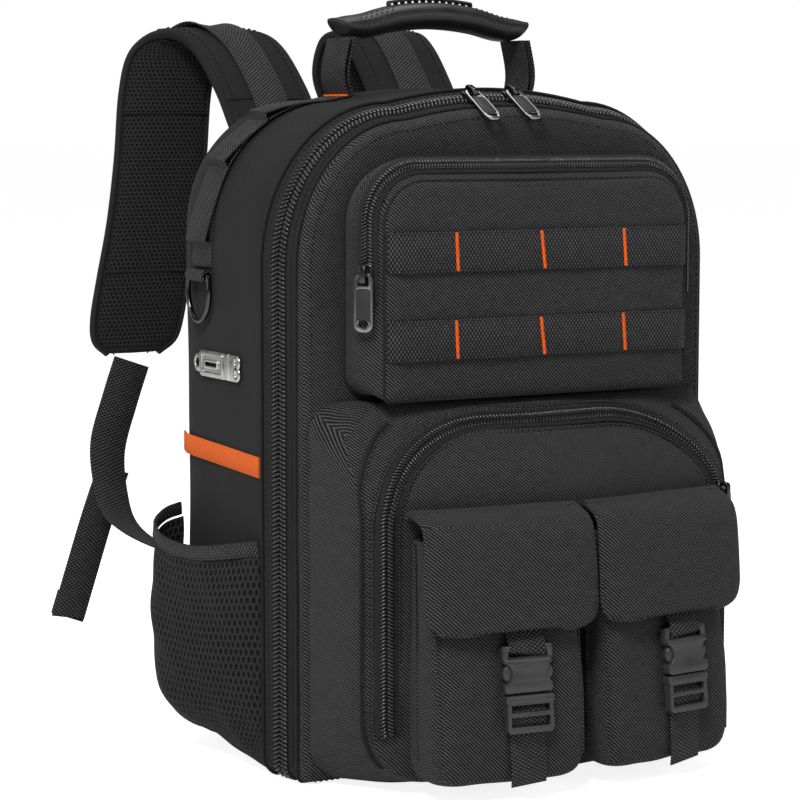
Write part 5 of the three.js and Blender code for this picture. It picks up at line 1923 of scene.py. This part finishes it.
@dataclass
class ShoulderStrap:
    """Padded strap with webbing down its outer face, and the webbing that tightens it."""

    hand: str
    side: int
    run: tuple[tuple[float, ...], ...]
    pad: float = 72
    thick: float = 11
    depth: float = 135
    webbing: float = 28
    lower: float = 29
    tail: float = 26
    seams: tuple[float, ...] = (0.2, 0.42, 0.6, 0.78)

    def place(self, rows: Sequence[Sequence[float]], count: int) -> np.ndarray:
        """Points in millimetres along a table of shares."""
        line = curve_through(np.array([row[:3] for row in rows]), count)
        across, back, up = self.side * BODY.front.half, MainCompartment.back, BODY.front.high
        return rows_at(across * line[:, 0], back + self.depth * line[:, 1], up * line[:, 2])

    def padding(self) -> None:
        """Build the pad: net inside, cloth outside, bound edges and a strip of webbing."""
        count = 90
        track = outward_track(self.place(self.run, count), (1, 0, 0))
        full = curve_through(np.array([[row[3]] for row in self.run]), count)[:, 0]
        wide, thick = self.pad * full / 2, self.thick * np.sqrt(full) / 2
        half_sizes = np.stack([wide, thick], axis=1)[:, None]
        for name, section, finish, nodes, fill in (
                ("padding", PAD_SECTION, AIR_MESH, [f"shoulder_pad_{self.hand}"], 0.6),
                ("cover", COVER_SECTION, SIDE_CLOTH, [], 0.5)):
            layer = sweep(f"strap_{name}_{self.hand}", track, np.array(section) * half_sizes)
            soften(layer, 1)
            dress(layer, finish, stands_for=nodes, mapped=False, angle=70)
        sides, normals = track.sides(), track.normals
        oval = np.array(round_cord(1.0, 12)) * (2.2, 3.6)
        for hand, name in ((-1, "in"), (1, "out")):
            edge = track.points + sides * (hand * wide * 0.985)[:, None]
            strip(f"strap_binding_{self.hand}_{name}", Track(edge, normals), oval, SIDE_CLOTH)
            seam = track.points + sides * (hand * (wide - 7))[:, None] + normals * (thick * 0.93)[:, None]
            stitch(f"strap_stitch_{self.hand}_{name}", Track(seam, normals), thick=0.5)
        for share in self.seams:
            k = int(share * (count - 1))
            reach = np.linspace(-0.93, 0.93, 24) * wide[k]
            for face, name in ((1, "out"), (-1, "in")):
                swell = thick[k] * (1.0 - 0.25 * (reach / reach[-1]) ** 4)
                line = track.points[k] + np.outer(reach, sides[k]) + np.outer(face * swell, normals[k])
                strip(f"strap_seam_{self.hand}_{k}_{name}", Track(line, facing(normals[k] * face, 24)),
                      round_cord(0.9, 6), SIDE_CLOTH)
        top = Track(track.points + normals * (thick * 1.02)[:, None], normals)
        strip(f"strap_face_webbing_{self.hand}", top.part(0, 0.93), flat_band(self.webbing, 1.5), WEBBING)

    def tightener(self) -> None:
        """Build the webbing below the pad and its hanging tail."""
        run = outward_track(self.place(WEB_RUN, 60), (1, 0, 0.35 * self.side))
        strip(f"strap_lower_webbing_{self.hand}", run, flat_band(self.lower, 1.6), WEBBING,
              [f"strap_webbing_{self.hand}"])
        track = outward_track(self.place(TAIL_RUN, 40), (1, 0, 0.2 * self.side))
        tail = strip(f"strap_hanging_tail_{self.hand}", track, flat_band(self.tail, 1.6), WEBBING,
                     [f"strap_tail_{self.hand}"])
        end = Track(track.points[-7:], track.normals[-7:]).moved(0, 1.5)
        hem = strip(f"strap_tail_hem_{self.hand}", end, flat_band(self.tail + 0.4, 1.6), WEBBING)

    def build(self) -> None:
        """Build the strap."""
        self.padding()
        self.tightener()


@dataclass
class Studio:
    """Pale floor, soft lights and the camera."""

    lens: float = 117.0
    eye: Point = (-0.92891, -1.56754, 0.43983)
    look: Point = (0.48949, 0.86517, -0.10904)
    floor_glow: tuple[float, float] = (0.12, 0.74)
    sky_glow: tuple[float, float] = (0.14, 0.86)
    lights: tuple[tuple[str, Point, float, float], ...] = (
        ("key", (-1.3, -1.3, 2.0), 0.8, 50), ("front", (0.9, -2.2, 1.1), 1.4, 10),
        ("left", (-2.4, 1.2, 0.9), 1.2, 11), ("top", (0.2, 0.6, 2.4), 1.6, 22),
    )

    def floor(self) -> None:
        """Lay the pale floor."""
        deselect()
        bpy.ops.mesh.primitive_plane_add(size=60, location=(0, 0, -0.0005))
        floor = bpy.context.object
        floor.name = "floor"
        made = bpy.data.materials.new("Pale floor")
        made.use_nodes = True
        shader = made.node_tree.nodes["Principled BSDF"]
        shader.inputs["Base Color"].default_value = (0.9, 0.9, 0.9, 1)
        shader.inputs["Emission Color"].default_value = (1, 1, 1, 1)
        graph = Graph(made.node_tree)
        graph.feed(shader.inputs["Emission Strength"], graph.lit_for_camera(*self.floor_glow))
        shader.inputs["Roughness"].default_value = 0.32
        shader.inputs["Specular IOR Level"].default_value = 0.35
        floor.data.materials.append(made)

    def light(self, name: str, place: Point, size: float, power: float) -> None:
        """Hang one soft square light that looks at the pack."""
        data = bpy.data.lights.new(name, "AREA")
        data.energy = power
        data.size = size
        lamp = bpy.data.objects.new(name, data)
        lamp.location = place
        lamp.rotation_euler = (Vector((0, 0, 0.24)) - Vector(place)).to_track_quat("-Z", "Y").to_euler()
        bpy.context.scene.collection.objects.link(lamp)

    def camera(self) -> None:
        """Set the camera at the photograph's angle."""
        data = bpy.data.cameras.new("camera")
        data.lens = self.lens
        data.sensor_width = 36
        camera = bpy.data.objects.new("camera", data)
        camera.location = self.eye
        camera.rotation_euler = Vector(self.look).to_track_quat("-Z", "Y").to_euler()
        bpy.context.scene.collection.objects.link(camera)
        bpy.context.scene.camera = camera

    def build(self) -> None:
        """Build the studio."""
        self.floor()
        world = bpy.context.scene.world or bpy.data.worlds.new("World")
        bpy.context.scene.world = world
        world.use_nodes = True
        background = world.node_tree.nodes["Background"]
        background.inputs[0].default_value = (1, 1, 1, 1)
        graph = Graph(world.node_tree)
        graph.feed(background.inputs[1], graph.lit_for_camera(*self.sky_glow))
        for lamp in self.lights:
            self.light(*lamp)
        self.camera()
        bpy.context.scene.view_settings.view_transform = "Standard"


def main() -> None:
    """Build the backpack piece by piece, then its studio."""
    logging.basicConfig(level=logging.INFO, format="%(asctime)s %(name)s: %(message)s", datefmt="%M:%S")
    Studio().build()
    parts = [MainCompartment(), UpperPocket(), LOWER]
    for hand, side, shift in (("left", -1, 6.0), ("right", 1, 7.0)):
        pouch = Pouch(hand, side)
        parts += [pouch, SideBuckle(pouch, shift)]
    parts += [MeshPocket(), SideFittings(), DaisyChain(), Handle(), ZipPulls(), BackPanel(),
              ShoulderStrap("left", -1, LEFT_PAD), ShoulderStrap("right", 1, RIGHT_PAD)]
    for part in parts:
        part.build()
        log.info("%s done", type(part).__name__)


if __name__ == "__main__":
    main()
